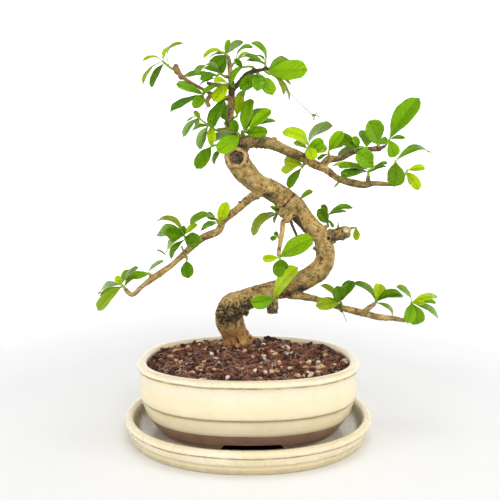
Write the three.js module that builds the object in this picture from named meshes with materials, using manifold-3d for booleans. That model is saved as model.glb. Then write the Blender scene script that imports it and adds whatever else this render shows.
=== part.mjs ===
// Fukien tea bonsai in an oval glazed pot on its saucer. Millimetres, +Z up.
// The origin lies on the flat underside of the saucer, below the middle of the pot.
// +X is to the right and -Y is toward someone who looks at the front of the tree.

import * as THREE from 'three';
import { mergeVertices } from 'three/addons/utils/BufferGeometryUtils.js';
import Module from 'manifold-3d';

const wasm = await Module();
wasm.setup();

// Driving dimensions

const POT_HALF_LENGTH = 85;
const POT_SIDE_STEP = 18.7;
const POT_ROUNDNESS = 2.31;
const POT_RIM_HEIGHT = 58.5;
const POT_FOOT_HEIGHT = 5;
const POT_RECESS = 6;
const POT_FLOOR_TOP = 15;
const SAUCER_HALF_LENGTH = 94.8;
const SAUCER_SIDE_STEP = 16.8;
const SAUCER_ROUNDNESS = 2.14;
const OVAL_STEPS = 24;

const NOTCH_WIDTH = 46;
const NOTCH_TOP_WIDTH = 38;
const NOTCH_OFFSET = 3;
const DRAIN_HOLE_RADIUS = 6;
const DRAIN_HOLE_OFFSET = 32;
const MESH_SIZE = 22;
const MESH_THICKNESS = 1.2;
const MESH_OPENING = 7.4;
const MESH_PITCH = 4.6;

const SOIL_GAP = 0.3;
const SOIL_EDGE_HEIGHT = 55.5;
const SOIL_MOUND = 6;
const MOUND_CENTRE = [-6, 24];
const MOUND_SPREAD = [34, 24];
const SOIL_BUMP = 1.6;
const CRUMB_COUNT = 12;
const CRUMB_SIZE = 2;
const CRUMB_SPREAD = 68;

const TRUNK_FOOT_HEIGHT = 34;
const TRUNK_SIDES = 10;
const TRUNK_STEP = 8.5;
const BRANCH_STEP = 13;
const CALLUS_THICKNESS = 2.1;
const KNOB_RADIUS = 9;
const KNOB_DEPTH = 7;

const LEAF_THICKNESS = 0.7;
const BLADE_TROUGH = 0.16;
const BLADE_WAVE = 0.06;
const TIP_CURVE = 0.03;
const SMALL_LEAF = 27;
const LARGE_LEAF = 33;
const SPUR_SIDES = 4;
const SPUR_RADIUS = 1.3;
const SPUR_SPREAD = 0.4;
const SHOOT_SIDES = 4;
const SHOOT_RADIUS = 1;
const SHOOT_TIP_RADIUS = 0.8;
const SEAT_GAP = 0.3;

// Small helpers

function randomFrom(seed) {
  let state = seed;
  return () => {
    state = (state * 1664525 + 1013904223) % 4294967296;
    return state / 4294967296;
  };
}

function solidFrom(geometry) {
  const plain = geometry.clone();
  plain.deleteAttribute('normal');
  plain.deleteAttribute('uv');
  const merged = mergeVertices(plain, 1e-4);
  return new wasm.Manifold(new wasm.Mesh({
    numProp: 3,
    vertProperties: new Float32Array(merged.attributes.position.array),
    triVerts: new Uint32Array(merged.index.array),
  }));
}

function geometryFrom(solid) {
  const mesh = solid.getMesh();
  const geometry = new THREE.BufferGeometry();
  geometry.setAttribute('position', new THREE.BufferAttribute(mesh.vertProperties, 3));
  geometry.setIndex(new THREE.BufferAttribute(mesh.triVerts, 1));
  geometry.computeVertexNormals();
  return geometry;
}

function joined(solids) {
  return solids.reduce((whole, solid) => whole.add(solid));
}

function material(colour, roughness) {
  return new THREE.MeshStandardMaterial({ color: colour, roughness, metalness: 0 });
}

function point(row) {
  return new THREE.Vector3(row[0], row[1], row[2]);
}

// A round section swept along points [x, y, z, radius]: along a smooth curve with a section every
// step, or straight from point to point where no step is given. The bark rule swells and pinches it,
// and a lead sets the direction that the first section is square to.

function curveStations(rows, stepLength) {
  const curve = new THREE.CatmullRomCurve3(rows.map(point), false, 'centripetal');
  const steps = Math.max(2, Math.round(curve.getLength() / stepLength));
  return Array.from({ length: steps + 1 }, (_, k) => {
    const t = curve.getUtoTmapping(k / steps);
    const row = Math.min(rows.length - 2, Math.floor(t * (rows.length - 1)));
    const share = t * (rows.length - 1) - row;
    const radius = THREE.MathUtils.lerp(rows[row][3], rows[row + 1][3], share);
    return { centre: curve.getPoint(t), along: curve.getTangent(t), radius };
  });
}

function straightStations(rows) {
  const points = rows.map(point);
  return points.map((centre, k) => {
    const before = points[Math.max(0, k - 1)];
    const after = points[Math.min(points.length - 1, k + 1)];
    return { centre, along: after.clone().sub(before).normalize(), radius: rows[k][3] };
  });
}

function sweep(rows, sides, { step = 0, bark = () => 1, lead = null } = {}) {
  const stations = step > 0 ? curveStations(rows, step) : straightStations(rows);
  if (lead !== null) {
    stations[0].along = lead;
  }
  const steps = stations.length - 1;
  let across = new THREE.Vector3(0, 1, 0);
  if (Math.abs(stations[0].along.y) > 0.9) {
    across.set(1, 0, 0);
  }
  for (const station of stations) {
    across = across.clone().addScaledVector(station.along, -across.dot(station.along)).normalize();
    station.across = across;
    station.over = station.along.clone().cross(across);
  }
  const tube = new THREE.CylinderGeometry(1, 1, 1, sides, steps);
  const position = tube.attributes.position;
  for (let i = 0; i < position.count; i += 1) {
    const k = Math.round((0.5 + position.getY(i)) * steps);
    const station = stations[k];
    const turn = Math.atan2(position.getX(i), position.getZ(i));
    const reach = Math.hypot(position.getX(i), position.getZ(i)) * station.radius * bark(k, turn);
    const moved = station.centre.clone()
      .addScaledVector(station.across, reach * Math.cos(turn))
      .addScaledVector(station.over, reach * Math.sin(turn));
    position.setXYZ(i, moved.x, moved.y, moved.z);
  }
  return solidFrom(tube);
}

// Pot and saucer: a closed profile [half length, height] is turned, and each ring is drawn out
// into a rounded oval that is narrower across than along by the same step all the way up.

function ovalPoint(halfLength, turn, sideStep, roundness) {
  const halfWidth = halfLength > sideStep * 2
    ? halfLength - sideStep
    : halfLength * 0.5;
  const x = Math.sign(Math.cos(turn)) * halfLength * Math.abs(Math.cos(turn)) ** (2 / roundness);
  const y = Math.sign(Math.sin(turn)) * halfWidth * Math.abs(Math.sin(turn)) ** (2 / roundness);
  return [x, y];
}

function ovalVessel(profile, sideStep, roundness) {
  const points = profile.map(([halfLength, height]) => new THREE.Vector2(halfLength, height));
  const lathe = new THREE.LatheGeometry(points, OVAL_STEPS);
  const position = lathe.attributes.position;
  for (let i = 0; i < position.count; i += 1) {
    const halfLength = Math.hypot(position.getX(i), position.getZ(i));
    const bearing = Math.atan2(position.getX(i), position.getZ(i)) / (2 * Math.PI);
    const step = (Math.round(bearing * OVAL_STEPS) + OVAL_STEPS) % OVAL_STEPS;
    const turn = step / OVAL_STEPS * 2 * Math.PI;
    const [x, y] = ovalPoint(halfLength, turn, sideStep, roundness);
    position.setXYZ(i, x, y, position.getY(i));
  }
  return solidFrom(lathe);
}

const SAUCER_PROFILE = [
  [0, 0], [88.6, 0], [91, 3.4], [91.4, 5.8], [90.8, 6.7], [92, 7.7], [SAUCER_HALF_LENGTH, 15.2],
  [93.6, 16.9], [90, 17.1], [88, 15], [85.4, 8], [80, POT_FOOT_HEIGHT], [0, POT_FOOT_HEIGHT],
];

const POT_PROFILE = [
  [0, POT_FOOT_HEIGHT + POT_RECESS], [59, POT_FOOT_HEIGHT + POT_RECESS], [60, POT_FOOT_HEIGHT],
  [66.7, POT_FOOT_HEIGHT], [70.2, 8.6], [69.9, 9.3], [71.6, 10], [78, 19.6], [78.7, 20.3],
  [81.5, 30.2], [80.9, 31.2], [82.6, 32.2], [83.8, 42], [83.3, 51], [POT_HALF_LENGTH, 56.2],
  [83.4, POT_RIM_HEIGHT], [79.3, POT_RIM_HEIGHT], [77.8, 56.4], [75.8, 30], [72, 17.5],
  [67, POT_FLOOR_TOP], [0, POT_FLOOR_TOP],
];

function footNotch() {
  const shape = new THREE.Shape();
  const below = POT_FOOT_HEIGHT - 1;
  shape.moveTo(NOTCH_OFFSET - NOTCH_WIDTH / 2, below);
  shape.lineTo(NOTCH_OFFSET + NOTCH_WIDTH / 2, below);
  shape.lineTo(NOTCH_OFFSET + NOTCH_TOP_WIDTH / 2, POT_FOOT_HEIGHT + POT_RECESS);
  shape.lineTo(NOTCH_OFFSET - NOTCH_TOP_WIDTH / 2, POT_FOOT_HEIGHT + POT_RECESS);
  const bar = new THREE.ExtrudeGeometry(shape, { depth: 160, bevelEnabled: false });
  bar.rotateX(Math.PI / 2);
  bar.translate(0, 80, 0);
  return solidFrom(bar);
}

function drainHole(side) {
  const hole = new THREE.CylinderGeometry(DRAIN_HOLE_RADIUS, DRAIN_HOLE_RADIUS, 30, 20);
  hole.rotateX(Math.PI / 2);
  hole.translate(side * DRAIN_HOLE_OFFSET, 0, POT_FLOOR_TOP);
  return solidFrom(hole);
}

function pot() {
  return ovalVessel(POT_PROFILE, POT_SIDE_STEP, POT_ROUNDNESS)
    .subtract(footNotch())
    .subtract(drainHole(-1))
    .subtract(drainHole(1));
}

function saucer() {
  return ovalVessel(SAUCER_PROFILE, SAUCER_SIDE_STEP, SAUCER_ROUNDNESS);
}

// A square of plastic mesh lies on the pot's floor over each drainage hole.

function drainMesh() {
  const plate = new THREE.BoxGeometry(MESH_SIZE, MESH_SIZE, MESH_THICKNESS);
  let mesh = solidFrom(plate);
  for (const i of [-1, 1]) {
    for (const j of [-1, 1]) {
      const opening = new THREE.BoxGeometry(MESH_OPENING, MESH_OPENING, 4 * MESH_THICKNESS);
      opening.translate(i * MESH_PITCH, j * MESH_PITCH, 0);
      mesh = mesh.subtract(solidFrom(opening));
    }
  }
  return geometryFrom(mesh);
}

// Soil: a low mound with crumbs pressed into it and a plain hole for the foot of the trunk.

function soilHeight(x, y) {
  const east = (x - MOUND_CENTRE[0]) / MOUND_SPREAD[0];
  const north = (y - MOUND_CENTRE[1]) / MOUND_SPREAD[1];
  const mound = SOIL_MOUND * Math.exp(-east * east - north * north);
  const furrows = 0.6 * Math.sin(x * 0.31 + 1.3 * Math.sin(y * 0.23));
  const ripples = 0.5 * Math.cos(y * 0.37 + x * 0.11);
  return SOIL_EDGE_HEIGHT + mound + furrows + ripples;
}

function soilBody() {
  const profile = [[0, POT_FLOOR_TOP], [67, POT_FLOOR_TOP], [72, 17.5], [75.8, 30], [77.5, 53]];
  for (let ring = 75; ring > 20; ring -= 10) {
    profile.push([ring, SOIL_EDGE_HEIGHT]);
  }
  profile.push([0, SOIL_EDGE_HEIGHT]);
  const points = profile.map(([halfLength, height]) => new THREE.Vector2(halfLength, height));
  const lathe = new THREE.LatheGeometry(points, OVAL_STEPS);
  const position = lathe.attributes.position;
  const random = randomFrom(11);
  const bumps = Array.from({ length: profile.length * OVAL_STEPS }, () => SOIL_BUMP * (random() - 0.5));
  for (let i = 0; i < position.count; i += 1) {
    const ring = i % profile.length;
    const halfLength = Math.max(0, Math.hypot(position.getX(i), position.getZ(i)) - SOIL_GAP);
    const spoke = Math.floor(i / profile.length) % OVAL_STEPS;
    const turn = spoke / OVAL_STEPS * 2 * Math.PI;
    const [x, y] = ring === 0 || ring === profile.length - 1
      ? [0, 0]
      : ovalPoint(halfLength, turn, POT_SIDE_STEP, POT_ROUNDNESS);
    let z = position.getY(i);
    if (z === SOIL_EDGE_HEIGHT) {
      const bump = ring === profile.length - 1 ? 0 : bumps[ring * OVAL_STEPS + spoke];
      z = soilHeight(x, y) + bump;
    }
    position.setXYZ(i, x, y, z);
  }
  return solidFrom(lathe);
}

function soilCrumbs() {
  const random = randomFrom(29);
  const crumbs = [];
  for (let k = 0; k < CRUMB_COUNT; k += 1) {
    const turn = random() * 2 * Math.PI;
    const reach = CRUMB_SPREAD * Math.sqrt(0.1 + 0.9 * random());
    const [x, y] = ovalPoint(reach, turn, POT_SIDE_STEP, POT_ROUNDNESS);
    const size = CRUMB_SIZE * (1 + 1.5 * random());
    const crumb = new THREE.BoxGeometry(size * 1.5, size, size * 0.8);
    crumb.rotateX(random() * 3);
    crumb.rotateY(random() * 3);
    crumb.rotateZ(random() * 3);
    crumb.translate(x, y, soilHeight(x, y) + 0.2);
    crumbs.push(solidFrom(crumb));
  }
  return crumbs;
}

function meshPocket(side) {
  const width = MESH_SIZE + 2 * SOIL_GAP;
  const pocket = new THREE.BoxGeometry(width, width, 2 * MESH_THICKNESS);
  pocket.translate(side * DRAIN_HOLE_OFFSET, 0, POT_FLOOR_TOP);
  return solidFrom(pocket);
}

function soil() {
  const sleeve = TRUNK.map(([x, y, z, radius]) => [x, y, z, radius + SOIL_GAP]);
  const roots = ROOTS.map(([x, y, z, radius]) => burr([x, y, z, radius + SOIL_GAP]));
  return joined([soilBody(), ...soilCrumbs()])
    .subtract(joined([sweep(sleeve, TRUNK_SIDES, TRUNK_BARK), ...roots]))
    .subtract(meshPocket(-1))
    .subtract(meshPocket(1));
}

// Wood. Each branch is a list of points [x, y, z, radius], the first one inside its parent.

const TRUNK = [
  [-6, 30, TRUNK_FOOT_HEIGHT, 11.4], [-6, 30, 43, 12.1], [-6, 30, 51, 12.5], [-9, 29, 60.7, 11.9],
  [-12, 26, 70.4, 10.8], [-16, 21, 83.2, 11], [-14, 16, 93, 10.6], [-3, 13, 100, 8.8], [15, 11, 107, 7.4],
  [31, 10, 111, 7.9], [48, 9, 118.5, 8.1], [58.5, 8, 127.5, 8], [61, 9, 136, 7.1], [58.5, 10, 149, 6.9],
  [47, 11, 162, 7.5], [33, 12, 178, 8.3], [20, 12, 187, 8], [5.4, 10, 194.3, 8], [-4.8, 8, 204.4, 9.2],
  [-9.6, 6, 211.6, 8.9],
];

const BRANCHES = [
  // Leader above the scar, with its forks and short twigs
  { sides: 6, rows: [
    [-7, 10, 210, 5.6], [-7, 13, 222, 4.8], [-12, 14, 230, 4], [-15, 14, 238, 3.6], [-14, 13, 251, 3],
    [-13, 12, 261, 2.6], [-13, 11, 268, 2.4], [-14, 10, 280, 2], [-15, 10, 289, 1.5],
  ] },
  { sides: 5, rows: [
    [-14, 12, 264, 2], [-7, 8, 270, 2], [-1, 6, 276, 1.8], [6, 4, 278, 1.6], [15, 3, 279, 1.2],
    [22, 2, 280, 1.1],
  ] },
  { sides: 5, rows: [
    [-13, 11, 268, 1.8], [-20, 9, 268, 1.8], [-29, 8, 269, 1.6], [-32, 7, 270, 1.2],
  ] },
  { sides: 5, rows: [
    [-14, 12, 259, 2], [-23, 10, 260, 1.6], [-31, 8, 263, 1.4], [-40, 4, 267, 1.2], [-49, 1, 272, 1.5],
    [-53, 0, 276, 2.1], [-54, 0, 279, 1.4],
  ] },
  { sides: 5, rows: [[-28, 9, 262, 1.5], [-32, 8, 256, 1.8], [-30, 8, 252, 1.6]] },
  // Upper right branch, its knob, its fork and the spur near its end
  { sides: 6, rows: [
    [-7, 12, 217, 5.2], [-2, 13, 225, 5.2], [7, 12, 226, 5.2], [18, 11, 224, 4.6], [31, 9, 218, 3.9],
    [42, 7, 213, 3.5], [52, 5, 207, 3.3], [60, 3, 203, 2.9], [69, 1, 196, 2.5], [82, -2, 192, 2.9],
    [88, -3, 191, 2.7], [96, -4, 192, 1.9], [110, -6, 191, 1.5],
  ] },
  { sides: 5, rows: [[19, 11, 223, 2], [21, 11, 229, 1.9]] },
  { sides: 5, rows: [
    [57, 4, 205, 2.7], [62, 5, 211, 3], [71, 6, 212, 2.2], [82, 7, 217, 2], [92, 8, 219, 1.8],
    [103, 9, 220, 2.2],
  ] },
  { sides: 5, rows: [[91, -4, 191, 1.9], [90, -7, 196, 1.6]] },
  // Left branch
  { sides: 6, rows: [
    [13, 8, 188, 4], [1, 4, 181, 3.3], [-9, 2, 172, 3.1], [-19, 0, 164, 2.9], [-23, -2, 156, 2.9],
    [-34, -5, 151, 2.7], [-45, -8, 142, 2.5], [-57, -11, 131, 2.1], [-71, -14, 121, 2.4],
    [-79, -16, 115, 1.7], [-86, -18, 109, 1.7], [-90, -18, 112, 1.6],
  ] },
  // Lower right branch and its twig
  { sides: 6, rows: [
    [22, 10, 109, 3.6], [33, 8, 105, 3.1], [44, 6, 104, 2.9], [54, 4, 102, 2.5], [66, 2, 98, 2.3],
    [81, 0, 94, 2.5], [90, -2, 92, 2.7], [99, -5, 90, 2.4], [113, -8, 89, 1.8], [118, -10, 88, 1.4],
  ] },
  { sides: 5, rows: [[88, -2, 92, 1.9], [93, -2, 96, 1.9], [97, -2, 99, 1.5]] },
  // Cut stubs below the trunk and to its right
  { sides: 8, rows: [[19, 9, 110, 4.8], [19, 5, 100, 4.1], [19, 4, 91, 4]] },
  { sides: 8, rows: [[58, 11, 150, 5.2], [68, 13, 152, 5.2], [80, 16, 155, 4.8]] },
  // Thin branch inside the big bend, and a dead twig behind it
  { sides: 5, rows: [
    [34, 10, 171, 3.8], [31, 4, 165, 2.7], [27, 0, 163, 2.1], [26, -2, 155, 1.9],
    [24, -5, 145, 1.8], [23, -8, 138, 1.6],
  ] },
  { sides: 5, rows: [[33, 8, 166, 1.2], [34, 6, 161, 1.2], [38, 6, 152, 1]] },
  // Two twigs behind the trunk
  { sides: 5, rows: [[56, 14, 154, 2.8], [63, 28, 158, 1.7], [67, 36, 159, 1.4]] },
  { sides: 5, rows: [[35, 14, 173, 2.4], [40, 24, 177, 1.4]] },
];

const SCAR = [-9.6, 0, 211.8];
const SCAR_RADIUS = 7.4;
const BURRS = [
  [6, 3, 190, 3.2], [12, 4, 188, 3], [42, 2, 111, 2.6], [-7, 8, 94, 5], [-22, 10, 90, 4.2],
  [28, 6, 170, 4.5], [64, 9, 150, 4],
];
const ROOTS = [[-15, 25, 53, 5.5], [1, 25, 54, 6], [-7, 38, 53, 5.5]];

function trunkBark(station, turn) {
  const ridges = 0.035 * Math.sin(5 * turn + station * 0.5);
  const swelling = 0.04 * Math.sin(station * 1.7 + 2 * turn);
  return 1 + ridges + swelling;
}

const TRUNK_BARK = { step: TRUNK_STEP, bark: trunkBark };

function branchBark(station, turn) {
  return 1 + 0.08 * Math.sin(station * 1.9) + 0.05 * Math.sin(2 * turn + station);
}

function scar() {
  const callus = new THREE.TorusGeometry(SCAR_RADIUS, CALLUS_THICKNESS, 5, 12);
  callus.rotateX(Math.PI / 2);
  callus.translate(SCAR[0], SCAR[1], SCAR[2]);
  const knob = new THREE.SphereGeometry(KNOB_RADIUS, 10, 6);
  knob.translate(SCAR[0], SCAR[1] + KNOB_DEPTH, SCAR[2]);
  return [solidFrom(callus), solidFrom(knob)];
}

function burr([x, y, z, radius]) {
  const lump = new THREE.SphereGeometry(radius, 6, 3);
  lump.rotateY(x);
  lump.translate(x, y, z);
  return solidFrom(lump);
}

// The spur of a spray grows straight from the nearest branch and ends square, a hair short of the
// green shoot, which goes on in the same direction and then turns to its own.

function nearestWood(target) {
  let nearest = null;
  for (const rows of [TRUNK, ...BRANCHES.map((branch) => branch.rows)]) {
    const curve = new THREE.CatmullRomCurve3(rows.map(point), false, 'centripetal');
    for (const candidate of curve.getPoints(80)) {
      if (nearest === null || candidate.distanceTo(target) < nearest.distanceTo(target)) {
        nearest = candidate;
      }
    }
  }
  return nearest;
}

function spurAxis({ shoot }) {
  const end = point(shoot[0]);
  const root = nearestWood(end);
  return { root, end, along: end.clone().sub(root).normalize() };
}

function spur(spray) {
  const { root, end } = spurAxis(spray);
  return sweep([[...root, SPUR_RADIUS + SPUR_SPREAD], [...end, SPUR_RADIUS]], SPUR_SIDES);
}

function wood() {
  return joined([
    sweep(TRUNK, TRUNK_SIDES, TRUNK_BARK),
    ...BRANCHES.map(({ sides, rows }) => sweep(rows, sides, { step: BRANCH_STEP, bark: branchBark })),
    ...scar(),
    ...[...BURRS, ...ROOTS].map(burr),
    ...SPRAYS.map(spur),
  ]);
}

// Leaves. Each spray has a green shoot [x, y, z] and a row for each of its leaves:
// place along the shoot (0 to 1), direction of the leaf in the front view (degrees from +X toward +Z),
// lean toward the viewer (degrees), length, share of the upper face turned to the viewer
// (below 0 for the underside), rise of the arch and breadth of the blade (percent of the length).

const SPRAYS = [
  { name: 'spray_left_tip', tone: 'fresh', shoot: [[-57, 0, 278], [-64, -2, 283]], leaves: [
    [1, -175, 20, 15, 0.6, 22, 46], [1, 68, -20, 16, 0.7, 12, 46], [1, -127, 15, 24, 0.6, 14, 30],
    [0.8, -125, -15, 21, -0.6, 15, 30], [0.3, 49, 34, 21.5, 0.6, 30, 30],
  ] },
  { name: 'spray_left_twig', tone: 'dark', shoot: [[-34, 4, 261], [-34, -1, 258]], leaves: [
    [0.6, 163, 20, 22, 0.8, 4, 46], [0.6, 162, -28, 17, 0.6, 10, 46], [0.6, -153, 2, 28.5, 0.6, 5, 46],
    [0.6, -117, 34, 16.5, 1, 10, 51],
  ] },
  { name: 'spray_apex_left', tone: 'green', shoot: [[-16, 10, 291], [-19, 8, 293]], leaves: [
    [0.4, 74, 20, 11, 0.9, 8, 46], [0.2, 44, -20, 19, -0.6, 20, 35], [0.6, -166, 10, 17.5, 0.7, 24, 46],
    [0.5, -170, -28, 17.5, 0.6, 15, 46], [0.3, -141, 12, 16.5, 1, 10, 53],
    [0.3, -113, -8, 15, 1, 10, 52],
  ] },
  { name: 'spray_crown_left', tone: 'green',
    shoot: [[-18, 9, 275], [-22, 5, 276], [-25, 3, 272]], leaves: [
    [0.7, 172, -28, 34, 0.6, 3, 42], [0.4, -154, 58, 32.5, 0.6, 20, 30],
    [0.7, -162, 15, 14.5, 0.9, 15, 46], [1, -161, -28, 16, 0.7, 15, 46],
    [0.5, 162, 8, 12.5, 0.7, 10, 46],
  ] },
  { name: 'spray_crown_bright', tone: 'bright', shoot: [[-13, 5, 269], [-16, 0, 267]], leaves: [
    [0.8, -169, 50, 15.5, 0.9, 15, 46], [0.6, -132, 2, 18, 1, 10, 51], [0.6, -46, 34, 7, 0.9, 10, 46],
    [1, -153, 19, 21, 0.6, 10, 43],
  ] },
  { name: 'spray_crown_dark', tone: 'dark', shoot: [[-16, 9, 260], [-19, 3, 257]], leaves: [
    [0.8, -108, 20, 27.5, 0.8, 8, 46], [0.7, -87, -10, 17, 0.8, 8, 46],
  ] },
  { name: 'spray_leader_right', tone: 'green', shoot: [[-12, 8, 284], [-9, 6, 286]], leaves: [
    [0.8, 30, 30, 17.5, 0.6, 24, 46], [0.8, 21, -28, 20, 0.6, 20, 42], [0.6, -10, 26, 23, 0.6, 20, 34],
  ] },
  { name: 'spray_fork_left', tone: 'green', shoot: [[4, 3, 280], [0, 0, 280], [-4, -1, 279]], leaves: [
    [0.2, -137, 25, 23, 0.6, 20, 42], [1, 145, 34, 9.5, 1, 10, 48],
  ] },
  { name: 'spray_fork_arches', tone: 'fresh', shoot: [[13, 2, 281], [13, 0, 284]], leaves: [
    [0.6, 130, 20, 18, 0.7, 26, 46], [1, 153, -36, 16, 0.6, 15, 46], [0.2, 154, 18, 5.5, 0.9, 10, 46],
    [0.2, 165, -14, 16.5, 0.6, 12, 46],
  ] },
  { name: 'spray_fork_below', tone: 'green', shoot: [[7, 1, 275], [11, -2, 272]], leaves: [
    [0.2, -138, 15, 19.5, 1, 10, 51], [0.6, -101, 42, 21, 1, 8, 46], [1, -66, 30, 20.5, 1, 8, 49],
  ] },
  { name: 'spray_fork_end', tone: 'green', shoot: [[13, -1, 276], [16, -4, 273]], leaves: [
    [0.5, -4, 26, 32, 1, 10, 46], [0.5, 36, -22, 22.5, 0.9, 15, 46], [1, -50, -22, 25.5, 0.6, 16, 30],
    [1, -60, 24, 22, 0.6, 14, 30], [1, -24, -6, 18, 0.6, 10, 35],
  ] },
  { name: 'spray_centre_right', tone: 'green',
    shoot: [[-4, 5, 231], [-2, 1, 232], [1, -2, 233]], leaves: [
    [0.2, 79, -6, 27, 0.8, 6, 46], [0.2, 53, -28, 31, 0.8, 8, 46], [0.9, 39, 10, 22, 0.9, 8, 46],
    [1, 19, -20, 24, 0.6, 10, 43], [0.2, 0, 9, 18.5, 1, 10, 46],
  ] },
  { name: 'spray_centre_left', tone: 'green', shoot: [[-6, 6, 229], [-8, 2, 231]], leaves: [
    [0.2, -139, 33, 26.5, 1, 8, 46], [1, -166, -28, 27, -0.6, 10, 33], [1, 117, 30, 11, 1, 8, 66],
  ] },
  { name: 'spray_leader_back', tone: 'fresh', shoot: [[-12, 17, 245], [-9, 19, 247]], leaves: [
    [0.9, 80, 7, 16.5, 1, 8, 54], [1, 73, -20, 26, 0.7, 8, 46],
  ] },
  { name: 'spray_drooping', tone: 'olive',
    shoot: [[-25, 8, 234], [-29, 4, 236], [-34, 1, 239], [-39, -1, 243]], leaves: [
    [0.3, -81, 20, 14, 1, 10, 50], [0.3, -165, -20, 17.5, 0.6, 20, 44],
    [0.4, -111, 10, 20, -0.7, 10, 46], [0.9, -118, -28, 7, -1, 10, 51],
    [0.9, -129, 4, 19, -0.6, 14, 34], [0.8, 130, 20, 8, 1, 10, 49], [1, -144, 18, 9, 0.6, 10, 35],
    [0.2, -91, -22, 15.5, 0.7, 10, 46],
  ] },
  { name: 'spray_shoulder', tone: 'dark',
    shoot: [[-17, 9, 221], [-23, 5, 222], [-28, 2, 221]], leaves: [
    [1, -122, 18, 22.5, 1, 2, 46], [0.2, -118, 0, 16, 0.6, 10, 46],
  ] },
  { name: 'spray_upper_first', tone: 'bright', shoot: [[45, 3, 217], [46, 0, 220]], leaves: [
    [1, 155, 20, 24.5, 0.9, 24, 46], [0.5, 148, -28, 13.5, 0.9, 10, 46],
    [1, 42, -20, 28.5, -0.6, 20, 41], [0.2, 31, 20, 14.5, 1, 10, 64], [1, -73, 34, 13.5, 1, 10, 66],
    [0.2, 8, -8, 16, 1, 10, 46],
  ] },
  { name: 'spray_upper_second', tone: 'olive', shoot: [[62, 2, 214], [61, -1, 216]], leaves: [
    [1, 57, 28, 19, 0.9, 12, 46], [1, 27, -28, 18, -0.6, 15, 46], [0.2, -152, 30, 12, 0.6, 10, 43],
  ] },
  { name: 'spray_upper_fork', tone: 'green',
    shoot: [[82, 4, 218], [85, 1, 220], [90, -1, 219]], leaves: [
    [0.3, 151, 2, 20, 1, 10, 46], [1, -166, -36, 25, -0.6, 15, 30], [0.4, 124, 20, 10, 1, 10, 55],
    [1, 79, -44, 22, 1, 6, 57],
  ] },
  { name: 'spray_upper_front', tone: 'green',
    shoot: [[90, -8, 198], [90, -10, 201], [93, -12, 203]], leaves: [
    [1, 145, 26, 20, 1, 6, 66], [0.5, 175, 6, 24, 0.6, 10, 36], [0.3, -169, 23, 25, 0.6, 10, 45],
    [0.2, 22, -15, 15.5, 0.6, 10, 40], [1, 18, 24, 10.5, 0.6, 10, 46],
    [0.2, 167, -16, 28.5, 0.6, 10, 30],
  ] },
  { name: 'spray_upper_fork_end', tone: 'green', shoot: [[101, 6, 222], [98, 4, 224]], leaves: [
    [0.2, 123, 34, 23, 1, 6, 66], [0.2, 37, -14, 9.5, 1, 10, 57],
  ] },
  { name: 'spray_upper_tall', tone: 'green', shoot: [[107, 10, 222], [110, 9, 227]], leaves: [
    [1, 57, 20, 36.5, 0.8, 6, 46], [1, -64, -22, 15.5, 1, 6, 66], [1, 4, 10, 12, 0.7, 10, 46],
  ] },
  { name: 'spray_upper_end', tone: 'dark',
    shoot: [[112, -7, 194], [113, -8, 201], [110, -8, 208]], leaves: [
    [1, -97, 18, 20.5, 1, 5, 66], [1, 15, -20, 33, 0.6, 20, 34],
  ] },
  { name: 'spray_upper_low', tone: 'bright',
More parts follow.
